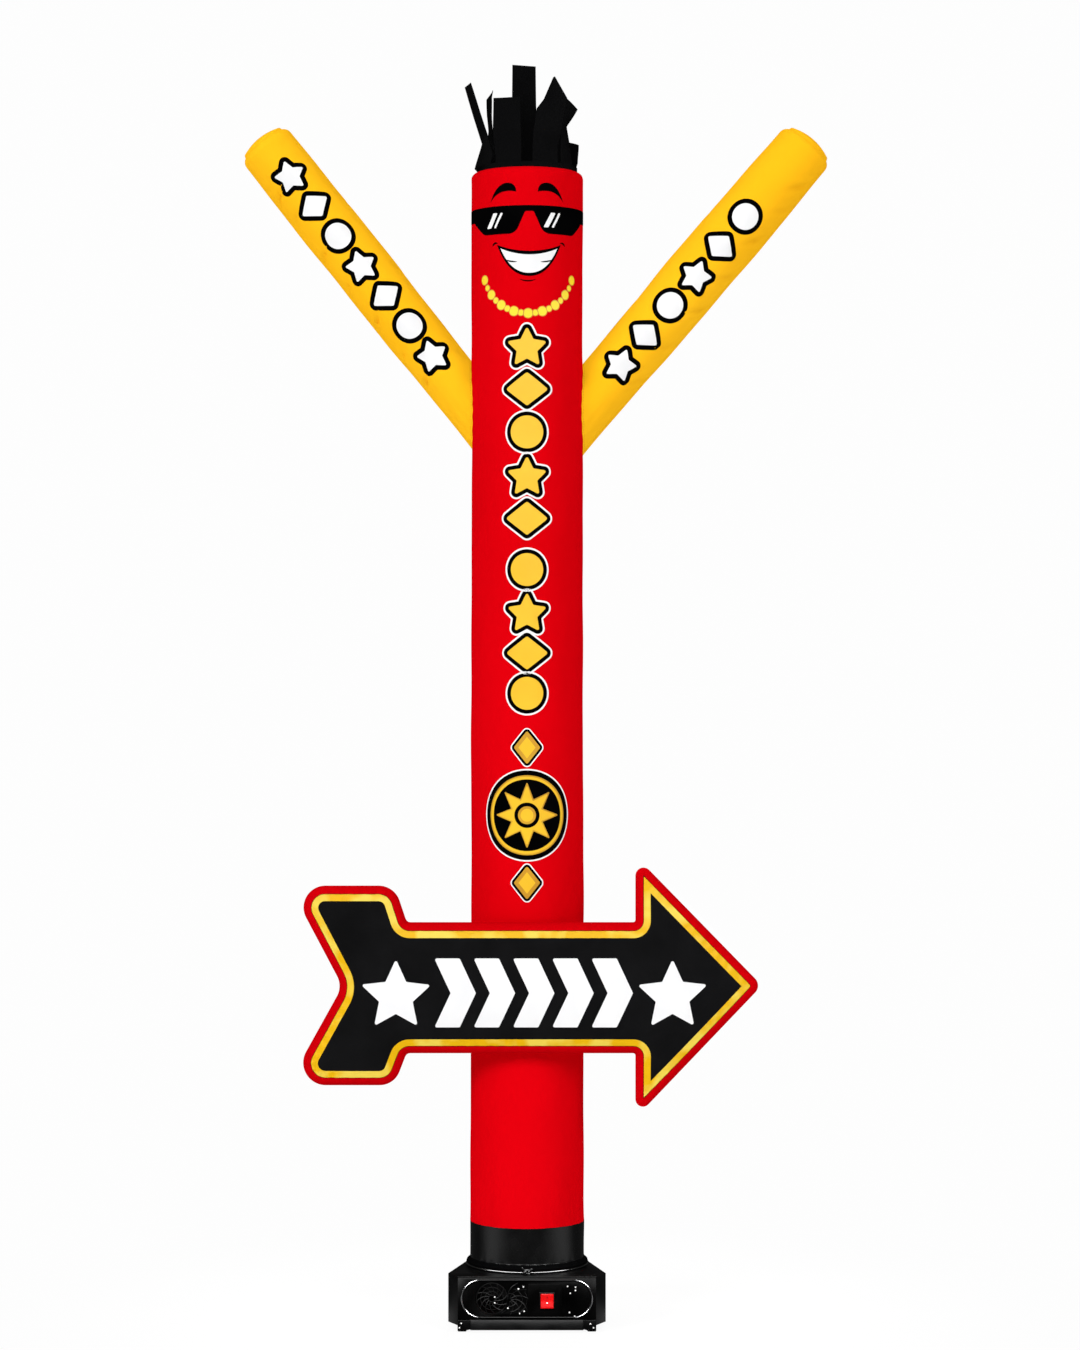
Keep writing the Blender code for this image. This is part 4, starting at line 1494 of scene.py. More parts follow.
@dataclass
class Head:
    """The black top of the head and the slit strips sewn round it."""

    edge: float = 0.1331
    vent: float = 0.045
    foot: float = 3.106
    rise: float = 0.014
    gather_depth: float = 0.0012
    band: float = 0.1360
    band_depth: float = 0.0026
    band_high: float = 3.124
    thickness: float = 0.0013
    bow: float = 0.004  # how far a strip arches across, at most
    curl: float = 0.0010
    columns: int = 96
    across: int = 5  # points across a strip

    def build_cap(self) -> Piece:
        """Makes the cap with its vent and its slight gathers.

        Returns:
            The piece.
        """
        rings = 14
        points = []
        for share in (row / rings for row in range(rings + 1)):
            reach = self.edge + (self.vent - self.edge) * share
            level = self.foot + self.rise * (1 - (1 - share) ** 2)
            for k in range(self.columns):
                turn = tau * k / self.columns - pi
                fold = self.gather_depth * cos(17 * turn + sin(3 * turn)) * (1 - share) * share * 4
                points.append(round_axis(reach, turn, level + fold))
        shape = (points, grid_faces(rings + 1, self.columns))
        cap = thicken(lay("head_cap_cloth", shape, Palette.BLACK))
        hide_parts("head_cap")
        return cap

    def build_hair(self) -> Piece:
        """Makes the band and its strips, one sheet slit into strips.

        Returns:
            The piece.
        """
        inner = self.band - self.band_depth
        ring = ((self.band, self.foot), (self.band, self.band_high), (inner, self.band_high),
                (inner, self.foot))
        points = [round_axis(r, turn, z) for turn in round_turns(self.columns) for r, z in ring]
        faces = [[i % len(points) for i in face] for face in grid_faces(self.columns + 1, 4)]
        shapes = [(points, faces)] + [self.strip(edges, n) for n, edges in enumerate(HAIR)]
        hair = lay("hair_strips", joined(shapes), Palette.BLACK, smooth=50.0)
        face_out(hair)
        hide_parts("hair_fringe")
        return hair

    def strip(self, edges: Table, number: int) -> Shape:
        """One strip with a little bow and curl.

        Args:
            edges: rows of the left edge's x, y, z and the right edge's.
            number: the strip's number, which sets its curl.

        Returns:
            Its points and faces.
        """
        levels = [
            [a + (b - a) * k / 4 for a, b in zip(low, high)]
            for low, high in zip(edges, edges[1:]) for k in range(4)
        ]
        rows = [(Vector(level[:3]), Vector(level[3:])) for level in (*levels, edges[-1])]
        wide, total = self.across, len(rows)
        points: Points = []
        for i, (left, right) in enumerate(rows):
            after = sum(rows[min(i + 1, total - 1)], Vector())
            before = sum(rows[max(i - 1, 0)], Vector())
            out = (right - left).cross(after - before).normalized()
            share = i / (total - 1)
            bow = min(self.bow, 0.10 * (right - left).length) * min(1.0, 5 * share)
            bow *= sin(2.3 * share + 1.3 * number + 0.5)
            for k in range(2 * wide):
                u = min(k, 2 * wide - 1 - k) / (wide - 1)
                curl = self.curl * sin(9 * share + 2.1 * number + 3 * u) * share
                side = self.thickness / 2 if k < wide else -self.thickness / 2
                shift = bow * (1 - (2 * u - 1) ** 2) + curl + side
                points.append(at(*(left.lerp(right, u) + out * shift)))
        faces = grid_faces(total, 2 * wide)
        for low in (0, len(points) - 2 * wide):
            high = low + 2 * wide - 1
            faces += [[low + k, low + k + 1, high - k - 1, high - k] for k in range(wide - 1)]
        return points, faces


HAIR = (  # each strip's edges from its root to its end: left x, y, z, then right x, y, z
    (
        (-0.1334, -0.0187, 3.110, -0.1090, -0.0792, 3.110), (-0.142, -0.035, 3.118, -0.098, -0.092, 3.126),
        (-0.133, -0.045, 3.147, -0.092, -0.098, 3.148), (-0.122, -0.060, 3.181, -0.108, -0.080, 3.209),
        (-0.144, -0.082, 3.250, -0.127, -0.098, 3.263), (-0.167, -0.108, 3.326, -0.151, -0.124, 3.336),
    ),
    (
        (-0.1231, 0.0548, 3.110, -0.1344, -0.0094, 3.110), (-0.106, 0.056, 3.234, -0.094, 0.012, 3.229),
        (-0.110, 0.058, 3.278, -0.097, 0.010, 3.270), (-0.111, 0.060, 3.322, -0.097, 0.010, 3.320),
        (-0.096, 0.022, 3.337, -0.093, 0.010, 3.339),
    ),
    (
        (-0.0829, -0.1061, 3.110, -0.0164, -0.1337, 3.110), (-0.086, -0.110, 3.159, -0.015, -0.133, 3.156),
        (-0.092, -0.113, 3.214, -0.017, -0.136, 3.211), (-0.090, -0.105, 3.298, -0.019, -0.130, 3.298),
    ),
    (
        (-0.0280, 0.1318, 3.110, 0.0326, 0.1307, 3.110), (-0.039, 0.116, 3.244, 0.026, 0.120, 3.245),
        (-0.042, 0.092, 3.336, 0.024, 0.102, 3.325), (-0.041, 0.070, 3.420, 0.023, 0.085, 3.418),
    ),
    (
        (0.0141, -0.1340, 3.110, 0.0829, -0.1061, 3.110), (0.015, -0.138, 3.168, 0.081, -0.108, 3.166),
        (0.018, -0.140, 3.210, 0.092, -0.112, 3.210), (0.026, -0.136, 3.265, 0.101, -0.108, 3.262),
        (0.045, -0.128, 3.291, 0.108, -0.104, 3.298), (0.071, -0.112, 3.353, 0.074, -0.110, 3.355),
    ),
    (
        (0.0901, -0.1001, 3.110, 0.1231, -0.0548, 3.110), (0.090, -0.095, 3.175, 0.114, -0.050, 3.186),
        (0.091, -0.086, 3.215, 0.107, -0.044, 3.231), (0.093, -0.084, 3.254, 0.122, -0.040, 3.255),
        (0.108, -0.076, 3.301, 0.137, -0.030, 3.280),
    ),
    (
        (0.1327, 0.0234, 3.110, 0.1281, -0.0416, 3.110), (0.114, 0.026, 3.153, 0.137, -0.034, 3.133),
        (0.113, 0.020, 3.199, 0.139, -0.034, 3.183),
    ),
    (
        (-0.1142, 0.0714, 3.110, -0.0674, 0.1167, 3.110), (-0.106, 0.084, 3.217, -0.038, 0.116, 3.224),
        (-0.096, 0.082, 3.242, -0.034, 0.111, 3.246), (-0.088, 0.078, 3.268, -0.031, 0.104, 3.277),
    ),
    (
        (0.0548, 0.1231, 3.110, 0.1061, 0.0829, 3.110), (0.032, 0.114, 3.222, 0.099, 0.088, 3.215),
        (0.037, 0.100, 3.281, 0.088, 0.082, 3.273),
    ),
    ((0.1090, 0.0792, 3.110, 0.1307, 0.0326, 3.110), (0.096, 0.066, 3.194, 0.124, 0.036, 3.183)),
)


# Skirt and tie


@dataclass
class Skirt:
    """The black satin sleeve over the blower's outlet, gathered by its tie."""

    girth: tuple[Span, ...] = (
        (0.1545, 0.1642), (0.1590, 0.1646), (0.1630, 0.1606), (0.1670, 0.1556), (0.1715, 0.1543),
        (0.2150, 0.1545), (0.2662, 0.1550),
    )
    columns: int = 192
    hem_top: float = 0.1690
    hem_middle: float = 0.1655
    hem_reach: float = 0.0085
    gather_depth: float = 0.0007
    tie_ring: float = 0.1640
    tie_height: float = 0.1507
    tie_radius: float = 0.0030
    tie_gap: float = 0.045  # half the angle that the knot takes up
    knot_middle: Triple = (0.0, -0.1735, 0.1552)
    knot_wrap: float = 0.0023  # its strands are squeezed thinner than the cord
    knot_end: float = 0.0021

    def reach(self, turn: Array, height: Array) -> Array:
        """The cloth's distance from the axis, gathers included.

        Args:
            turn: angles round the axis.
            height: heights.

        Returns:
            The distances.
        """
        size = np.interp(height, *zip(*self.girth))
        hem = np.exp(-(((height - self.hem_middle) / self.hem_reach) ** 2))
        up = np.exp(-np.maximum(height - 0.172, 0) / 0.018)
        gather = np.cos(31 * turn + 2.2 * np.sin(3 * turn) + 0.9 * np.sin(7 * turn))
        slow = np.cos(9 * turn + 1.2) * np.cos(4 * turn + 0.3)
        moved = self.gather_depth * hem * gather + 0.00022 * up * (gather + slow)
        return size + moved + 0.0003 * np.cos(5 * turn + 9 * height) * np.sin(40 * height)

    def build(self) -> Piece:
        """Makes the sleeve's cloth, dull along its hem.

        Returns:
            The piece.
        """
        runs = (np.arange(0.1545, 0.1780, 0.0015), np.arange(0.178, 0.262, 0.006), [0.2662])
        shape = ringed(np.concatenate(runs), self.columns, self.reach)
        skirt = lay("skirt_cloth", shape, Palette.SATIN)
        skirt.data.materials.append(Palette.BLACK.made())
        for face in skirt.data.polygons:
            face.material_index = int(face.center.z < self.hem_top)
        thicken(skirt)
        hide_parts("skirt")
        return skirt

    def build_tie(self) -> Piece:
        """Makes the cord round the hem, its knot and its two short ends.

        Returns:
            The cord.
        """
        gap = self.tie_gap
        turns = [gap + (tau - 2 * gap) * k / 96 for k in range(97)]
        path = [round_axis(self.tie_ring, turn, self.tie_height) for turn in turns]
        cord = swept(path, self.tie_radius, 12)
        tie = lay("tie_cord_round", cord, Palette.CORD, smooth=70.0)
        knot = self.build_knot()
        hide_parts("tie_cord")
        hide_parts("tie_knot")
        return tie

    def build_knot(self) -> Piece:
        """Makes the overhand knot: two crossing wraps and two short ends.

        Returns:
            The piece.
        """
        middle = at(*self.knot_middle)
        strands: list[Shape] = []
        for tilt, half_x, half_z, push in ((28, 0.0082, 0.0036, 0.0), (-32, 0.0078, 0.0034, -0.0018)):
            lean = Matrix.Rotation(radians(tilt), 3, "Y")
            loop = []
            for turn in round_turns(20):
                off = Vector((half_x * cos(turn), 0.0026 * sin(2 * turn), half_z * sin(turn)))
                loop.append(middle + lean @ off + Vector((0, push, 0)))
            strands.append(swept(loop, self.knot_wrap, closed=True))
        for side, rise in ((-1, 0.0110), (1, 0.0080)):
            base = middle + Vector((side * 0.004, -0.0015, 0.001))
            tip = middle + Vector((side * 0.0125, -0.0065, rise))
            pull = (base + tip) / 2 + Vector((side * 0.0022, -0.0022, -0.0006))
            strands.append(swept([*bend(base, pull, tip, 4), tip], self.knot_end))
        return lay("tie_knot_cord", joined(strands), Palette.KNOT)


# Blower


@dataclass
class Blower:
    """The low black blower: its case, front, guard, switch, brackets, screws and feet."""

    front: float = -0.203
    inlet: Span = (-0.0930, 0.0893)
    inlet_radius: float = 0.0440
    guard_wire: float = 0.0010
    guard_rings: tuple[float, ...] = (0.0085, 0.0190, 0.0300, 0.0412)
    guard_ribs: Span = (0.0085, 0.0425)  # from and to how far from the inlet's middle
    rib_sweep: float = 0.75
    rib_rise: float = 0.0016
    hub: Span = (-0.0460, 0.0860)  # the middle of the web
    web_wire: float = 0.0009
    web_high: float = 0.043  # how far the web reaches from the panel's middle
    web_rings: tuple[Triple, ...] = (  # radius, first angle and last
        (0.0170, -2.4, 2.5), (0.0310, -1.5, 1.2), (0.0420, -0.9, 0.5),
    )
    rim_half: float = 0.1735
    rim_radius: float = 0.0495
    rim_wire: float = 0.0020
    rim_middle: float = 0.0893
    switch: Span = (0.0537, 0.0835)
    switch_half: Span = (0.0170, 0.0190)
    bezel_front: float = -0.2078
    rocker_rest: float = -8.0  # degrees that the rocker leans at rest
    key_rise: float = 0.0012
    key_back: float = 0.0074
    key_wear: float = 0.0011  # how far its edges are rounded off
    screw_radius: float = 0.0021
    guard_seat: float = 0.0012  # how much further out the screws on the inlet sit
    feet: tuple[str, ...] = (
        "foot_front_left", "foot_front_right", "foot_rear_left", "foot_rear_right",
    )
    screws: tuple[Span, ...] = (
        (-0.0093, 0.1205), (-0.0225, 0.1151), (-0.0854, 0.0936), (-0.0854, 0.0782),
        (-0.0504, 0.0640), (-0.0074, 0.0558), (-0.0197, 0.0497), (-0.1310, 0.0399),
        (0.1081, 0.1219), (0.1291, 0.1196), (0.1291, 0.1112), (0.1151, 0.1034),
        (0.1132, 0.0525), (0.1269, 0.0421),
    )
    low_screws: tuple[Span, ...] = (
        (-0.1744, 0.0245), (-0.1794, 0.0128), (0.1688, 0.0231), (0.1772, 0.0128),
    )

    def softened(self, node: str, width: float, finish: Palette) -> Piece:
        """A solid's own form with its hard edges rounded.

        Args:
            node: the solid's name.
            width: the rounding's width.
            finish: its finish.

        Returns:
            The piece that stands for it.
        """
        shape = bmesh.new()
        shape.from_mesh(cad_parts[node].data)
        bmesh.ops.remove_doubles(shape, verts=shape.verts, dist=1e-6)
        flat = radians(1.0)
        bmesh.ops.dissolve_limit(shape, angle_limit=flat, verts=shape.verts, edges=shape.edges)
        if node == "apron":
            self.add_tabs(shape)
        mesh = bpy.data.meshes.new(f"{node}_formed")
        shape.to_mesh(mesh)
        shape.free()
        piece = placed(f"{node}_formed", mesh)
        mesh.materials.append(finish.made())
        edges = piece.modifiers.new("edges", "BEVEL")
        edges.width = width
        edges.segments = 2
        edges.angle_limit = radians(35.0)
        edges.use_clamp_overlap = True
        settle(piece)
        piece.data.shade_smooth()
        piece.data.set_sharp_from_angle(angle=SHARP)
        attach(piece, MAIN_BODY)
        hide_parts(node)
        "foot_rubber" if node in self.feet else "black_enamel"
        return piece

    def add_tabs(self, shape: bmesh.types.BMesh) -> None:
        """Adds the kick plate's end tabs, which lie behind the angle pieces.

        Args:
            shape: the kick plate, added to.
        """
        size = Matrix.Diagonal((0.0120, 0.0015, 0.0250, 1.0))
        for side in (-1, 1):
            middle = at(side * 0.1505, self.front + 0.0003, 0.0200)
            bmesh.ops.create_cube(shape, size=1.0, matrix=Matrix.Translation(middle) @ size)

    def build_case(self) -> list[Piece]:
        """Makes the case, collar, front panel, plate, bezel, brackets, feet and gland.

        Returns:
            The pieces.
        """
        table = (
            (0.0022, Palette.ENAMEL, "blower_base"),
            (0.0007, Palette.ENAMEL, "outlet_collar"),
            (0.0012, Palette.PANEL, "front_panel"),
            (0.0009, Palette.PANEL, "switch_plate"),
            (0.0009, Palette.BEZEL, "switch_bezel"),
            (0.0009, Palette.ENAMEL, "apron"),
            (0.0010, Palette.ENAMEL, "corner_left", "corner_right"),
            (0.0012, Palette.RUBBER, *self.feet),
            (0.0006, Palette.BEZEL, "cord_gland"),
        )
        return [self.softened(n, width, finish) for width, finish, *nodes in table for n in nodes]

    def build_rim(self) -> Piece:
        """Makes the wire bead round the front panel's middle, its bends coloured as painted highlight.

        Returns:
            The piece.
        """
        run = self.rim_half - self.rim_radius
        y = self.front - 0.0003 - self.rim_wire
        path = []
        for side in (1, -1):
            for turn in (-pi / 2 + pi * k / 32 for k in range(33)):
                x = side * (run + self.rim_radius * cos(turn))
                path.append(at(x, y, self.rim_middle + side * self.rim_radius * sin(turn)))
            z = self.rim_middle + side * self.rim_radius
            path += [at(side * run * (1 - k / 6), y, z) for k in range(1, 12)]
        wire = swept(path, self.rim_wire, 10, closed=True)
        rim = lay("panel_rim_wire", wire, Palette.RIM, smooth=70.0)
        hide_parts("panel_rim")
        return rim

    def build_guard(self) -> Piece:
        """Makes the inlet's guard: rings and curved ribs of wire.

        Returns:
            The piece.
        """
        x0, z0 = self.inlet
        y = self.front + 0.0026
        wires: list[Shape] = []
        for radius in self.guard_rings:
            ring = [at(x0 + radius * cos(t), y, z0 + radius * sin(t)) for t in round_turns(40)]
            wires.append(swept(ring, self.guard_wire, 6, closed=True))
        inner, outer = self.guard_ribs
        for first in round_turns(12):
            path = []
            for share in (k / 12 for k in range(13)):
                radius = inner + (outer - inner) * share
                turn = first + self.rib_sweep * share
                level = y - self.rib_rise * sin(pi * share) + 0.0004
                path.append(at(x0 + radius * cos(turn), level, z0 + radius * sin(turn)))
            wires.append(swept(path, self.guard_wire, 6))
        guard = lay("inlet_guard_wires", joined(wires), Palette.WIRE)
        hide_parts("inlet_guard")
        return guard

    def clear(self, x: float, z: float) -> bool:
        """Whether the web may lie at a place: off the inlet and inside the rim."""
        off = hypot(x - self.inlet[0], z - self.inlet[1]) > self.inlet_radius
        return off and abs(z - self.rim_middle) < self.web_high

    def build_web(self) -> Piece:
        """Makes the curved wires beside the inlet, laid on the panel inside the rim.

        Returns:
            The piece.
        """
        lines = []
        shares = [k / 10 for k in range(11)]
        for first in round_turns(11):
            lines.append([(0.0040 + 0.0440 * share, first + 0.3 - 0.85 * share) for share in shares])
        for radius, first, last in self.web_rings:
            lines.append([(radius, first + (last - first) * k / 24) for k in range(25)])
        wires = []
        x0, z0 = self.hub
        for line in lines:
            spots = [(x0 + 1.1 * reach * cos(turn), z0 + reach * sin(turn)) for reach, turn in line]
            path = [at(x, self.front - 0.0007, z) for x, z in spots if self.clear(x, z)]
            if len(path) > 3:
                wires.append(swept(path, self.web_wire, 6))
        web = lay("guard_web", joined(wires), Palette.WIRE)
        return web

    def build_screws(self) -> list[Piece]:
        """Makes the pan-head screws with cross slots, on the panel and on the brackets. Their near-white
        colour is zinc's light tone, raised further as painted glint.

        Returns:
            The pieces.
        """
        made = []
        for name, places, level in (
            ("panel_screws", self.screws, self.front - 0.0001),
            ("bracket_screws", self.low_screws, self.front - 0.0050),
        ):
            heads = []
            for number, (x, z) in enumerate(places):
                off = max(abs(x - self.inlet[0]), abs(z - self.rim_middle))
                seat = at(x, level - (self.guard_seat if off < self.web_high else 0.0), z)
                heads.append(self.screw(seat, radians(37.0 * number)))
            # the near-white screw heads carry painted glint
            made.append(lay(name, joined(heads), Palette.ZINC))
        return made

    def screw(self, seat: Vector, spin: float) -> Shape:
        """One pan head that looks to the front.

        Args:
            seat: the middle of its seat.
            spin: the angle that its slot is turned by.

        Returns:
            Its points and faces.
        """
        rings = ((1.0, 0.0), (1.0, 0.30), (0.93, 0.52), (0.76, 0.72), (0.50, 0.84), (0.26, 0.88))
        radius, sides = self.screw_radius, 16
        points: Points = []
        for share, rise in rings:
            for k, turn in enumerate(round_turns(sides)):
                slot = 0.30 if share < 0.6 and k % 4 == 0 else 0.0
                x, z = radius * share * cos(turn + spin), radius * share * sin(turn + spin)
                points.append(seat + Vector((x, -radius * (rise - slot) * 0.8, z)))
        last, tip = len(points) - sides, len(points)
        points.append(seat + Vector((0, -radius * 0.42, 0)))
        faces = grid_faces(len(rings), sides)
        faces += [[tip, last + k, last + (k + 1) % sides] for k in range(sides)]
        faces.append(list(range(sides))[::-1])
        return points, faces

    def key(self, x: float, y: float, z: float) -> Vector:
        """The world place of a point of the rocker, given from its pivot."""
        lean = Matrix.Rotation(radians(self.rocker_rest), 3, "X")
        return at(self.switch[0], self.bezel_front + 0.0008, self.switch[1]) + lean @ Vector((x, y, z))

    def key_face(self, across: float, up: float, lift: float = 0.0) -> Vector:
        """The world place on the rocker's dished face.

        Args:
            across: the place across it.
            up: the place up it.
            lift: how far out of the face.

        Returns:
            The place.
        """
        half_x, half_z = self.switch_half
        tilt = abs(up) * sin(radians(-self.rocker_rest)) * 0.97
        edge = max(abs(across) / half_x, abs(up) / half_z)
        worn = self.key_wear * max(0.0, (edge - 0.86) / 0.14) ** 2
        return self.key(across, -(self.key_rise + tilt - worn + lift), up)

    def build_rocker(self) -> list[Piece]:
        """Makes the rocker with its dished face, and its plain dot and bar.

        Returns:
            The key, then its marks.
        """
        half_x, half_z = self.switch_half
        columns, rows = 13, 21
        steps = [row / (rows - 1) for row in range(rows)]
        levels = [-cos(pi * step) * 0.5 + (step - 0.5) for step in steps]
        sides = [2 * column / (columns - 1) - 1 for column in range(columns)]
        bowed = [copysign(abs(u) ** 0.75, u) for u in sides]
        points = [self.key_face(u * half_x, v * half_z) for v in levels for u in bowed]
        back = self.key_back
        points += [self.key(u * half_x * 0.98, back, v * 0.0120) for v in levels for u in sides]
        front = rows * columns
        faces = grid_faces(rows, columns, False)
        faces += [[front + i for i in face[::-1]] for face in faces]
        rim = list(range(columns))
        rim += [row * columns + columns - 1 for row in range(1, rows)]
        rim += [(rows - 1) * columns + column for column in range(columns - 2, -1, -1)]
        rim += [row * columns for row in range(rows - 2, 0, -1)]
        faces += [[b, a, front + a, front + b] for a, b in zip(rim, rim[1:] + rim[:1])]
        rocker = lay("rocker_key", (points, faces), Palette.ROCKER, SWITCH_BODY, 50.0)
        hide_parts("rocker")
        dot = disc(0.0, -0.0050, 0.0023, 8)
        bar = ((0.0006, 0.0068), (0.0006, 0.0122), (-0.0006, 0.0122), (-0.0006, 0.0068))
        ends = rounded([(x, z, 0.0002) for x, z in bar], 0.0002)
        marks = Print("rocker_dot", [[(Palette.MARK, rounded(dot, 0.0006))]], 0.0012)
        inks = marks.build(self.key_face)
        inks += Print("rocker_bar", [[(Palette.GLOSS, ends)]], 0.0012).build(self.key_face)
        for piece in inks:
            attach(piece, SWITCH_BODY)
        return [rocker, *inks]


# Prints of the tube and the arms


def bend(a: Sequence[float], b: Sequence[float], c: Sequence[float], steps: int = 14) -> Outline:
    """Points of a curve, without its last one.

    Args:
        a: its start.
        b: what it is drawn towards.
        c: its end.
        steps: how many points.

    Returns:
        The points.
    """
    first, pull, last = Vector(a), Vector(b), Vector(c)
    shares = [k / steps for k in range(steps)]
    return [first.lerp(pull, t).lerp(pull.lerp(last, t), t) for t in shares]


def stroke(a: Span, b: Span, c: Span, width: float) -> Outline:
    """A curved line of ink, thin at its ends.

    Args:
        a: its start.
        b: what it bends towards.
        c: its end.
        width: its greatest width.

    Returns:
        Its outline, counterclockwise.
    """
    middle = bend(a, b, c, 16) + [Vector(c)]
    side: Outline = []
    for k in range(1, 16):
        along = (middle[k + 1] - middle[k - 1]).normalized()
        half = 0.5 * width * sin(pi * k / 16) ** 0.6
        side.append(Vector((along.y, -along.x)) * half)
    low = [p + d for p, d in zip(middle[1:-1], side)]
    high = [p - d for p, d in zip(middle[1:-1], side)]
    return [middle[0], *low, middle[-1], *high[::-1]]


def smile(middle: float, half: float, high: float, dip: float, low: float) -> Outline:
    """The outline of an open smile.

    Args:
        middle: its middle across.
        half: half its width.
        high: the height of its corners.
        dip: what its upper edge is drawn towards.
        low: the height of its lowest point.

    Returns:
        The outline.
    """
    left, right, foot = (middle - half, high), (middle + half, high), (middle, low)
    outline = bend(left, (middle, dip), right, 24)
    outline += bend(right, (middle + 0.60 * half, low - 0.001), foot, 18)
    return outline + bend(foot, (middle - 0.60 * half, low - 0.001), left, 18)


def face_print() -> Print:
    """The face: plain arched brows, smooth dark glasses and an open smile.

    Returns:
        The print.
    """
    black, white = Palette.INK_BLACK, Palette.INK_WHITE
    brow = bend((0.0290, 3.0400), (0.0300, 3.0660), (0.0580, 3.0645))
    brow += bend((0.0580, 3.0645), (0.0880, 3.0600), (0.1051, 3.0150))
    brow += bend((0.1051, 3.0150), (0.0880, 3.0380), (0.0620, 3.0420))
    brow += bend((0.0620, 3.0420), (0.0450, 3.0440), (0.0290, 3.0400), 8)
    motifs = [[(black, [Vector((side * p.x, p.y)) for p in brow])] for side in (-1, 1)]
    half = (
        (-0.236, 3.0035, 0.002), (-0.236, 2.969, 0.003), (-0.186, 2.966, 0.012),
        (-0.134, 2.9279, 0.032), (-0.038, 2.9279, 0.030), (-0.0115, 2.9878, 0.006),
    )
    edge = [(x + 0.0065, z, r) for x, z, r in half]
    edge += [(0.0065 - x, z, r) for x, z, r in half[::-1]]
    glasses = [(black, rounded(edge, 0.004))]
    for x in (-0.118, 0.044):
        for left, width in ((x, 0.014), (x + 0.023, 0.007)):
            low, high = (left, left + width), (left + width + 0.022, left + 0.022)
            glint = [(u, 2.945, 0.002) for u in low] + [(u, 2.985, 0.002) for u in high]
            glasses.append((white, rounded(glint, 0.002)))
    motifs.append(glasses)
    middle = 0.0055
    motifs.append([
        (black, smile(middle, 0.0900, 2.9000, 2.8628, 2.8140)),
        (white, smile(middle, 0.0795, 2.8900, 2.8535, 2.8225)),
        (black, stroke((-0.062, 2.8590), (-0.046, 2.8525), (-0.026, 2.8525), 0.0042)),
        (black, stroke((0.072, 2.8590), (0.056, 2.8525), (0.036, 2.8525), 0.0042)),
    ])
    ends = ((0.1040, 2.8960), (0.0990, 2.9080), (0.0880, 2.9040))
    for side in (-1, 1):
        tick = [(middle + side * x, z) for x, z in ends]
        motifs.append([(black, stroke(*tick, 0.0050))])
    motifs.append([(black, stroke((-0.020, 2.8060), (0.002, 2.7960), (0.024, 2.8060), 0.0036))])
    return Print("face", motifs)


def garland_print() -> Print:
    """A string of yellow beads, hung in a shallow curve under the smile.

    Returns:
        The print.
    """
    motifs = []
    count = 17
    for k in range(count):
        u = 2 * k / (count - 1) - 1
        aside = 0.003 + 0.117 * sin(1.25 * u) / sin(1.25)
        x, z = TUBE * asin(aside / TUBE), 2.7145 + 0.094 * u * u
        size = 0.0072 if k % 2 else 0.0118
        table = ((Palette.INK_GOLD, size + 0.0020), (Palette.INK_LEMON, size))
        motifs.append([(ink, rounded(disc(x, z, radius, 12), 0.003)) for ink, radius in table])
    return Print("garland", motifs, 0.006)


def column_print() -> Print:
    """Nine big yellow shapes down the front, in two groups.

    Returns:
        The print.
    """
    motifs = []
    for k, z in enumerate((2.627, 2.512, 2.397, 2.281, 2.166, 2.029, 1.916, 1.806, 1.698)):
        shapes = (
            star(0.0, z - 0.005, 5, 0.058, 0.029),
            lozenge(0.0, z, 0.058, 0.045, 0.005),
            disc(0.0, z, 0.044, 16),
        )
        motifs.append(outlined(shapes[k % 3], Palette.INK_YELLOW, 0.0104, 0.0048))
    return Print("column", motifs)


def medallion_print() -> Print:
    """A gold and black rosette between two smaller shapes.

    Returns:
        The print.
    """
    middle = 1.372
    black, gold, yellow = Palette.INK_BLACK, Palette.INK_GOLD, Palette.INK_YELLOW
    outer = ((Palette.INK_WHITE, 0.124), (black, 0.120), (gold, 0.107), (yellow, 0.103), (black, 0.096))
    rings = [(ink, disc(0, middle, reach, 24)) for ink, reach in outer]
    rings.append((gold, star(0, middle, 8, 0.090, 0.046, 0.002)))
    rings.append((yellow, star(0, middle, 8, 0.082, 0.041, 0.002)))
    inner = ((black, 0.034), (gold, 0.024), (yellow, 0.017))
    rings += [(ink, disc(0, middle, reach, 16)) for ink, reach in inner]
    motifs = [[(ink, rounded(corners, 0.004)) for ink, corners in rings]]
    for z in (1.553, 1.191):
        shape = lozenge(0.0, z, 0.036, 0.045)
        heart = (yellow, rounded(grown(shape, -0.010), 0.004))
        motifs.append([*outlined(shape, gold, 0.0065, 0.0032), heart])
    return Print("medallion", motifs)


def arm_print(name: str, count: int, pitch: float, size: float) -> Print:
    """A row of white shapes along an arm.

    Args:
        name: the print's name.
        count: how many shapes.
        pitch: from one to the next.
        size: a star's reach.

    Returns:
        The print.
    """
    motifs = []
    for k in range(count):
        x = pitch * k
        shapes = (
            star(x, -0.05 * size, 5, size, 0.56 * size, 0.003),
            lozenge(x, 0.0, 0.76 * size, 0.97 * size),
            disc(x, 0.0, 0.78 * size, 16),
        )
        motifs.append(outlined(shapes[k % 3], Palette.INK_WHITE, 0.28 * size))
    return Print(name, motifs, 0.0045)


# Studio


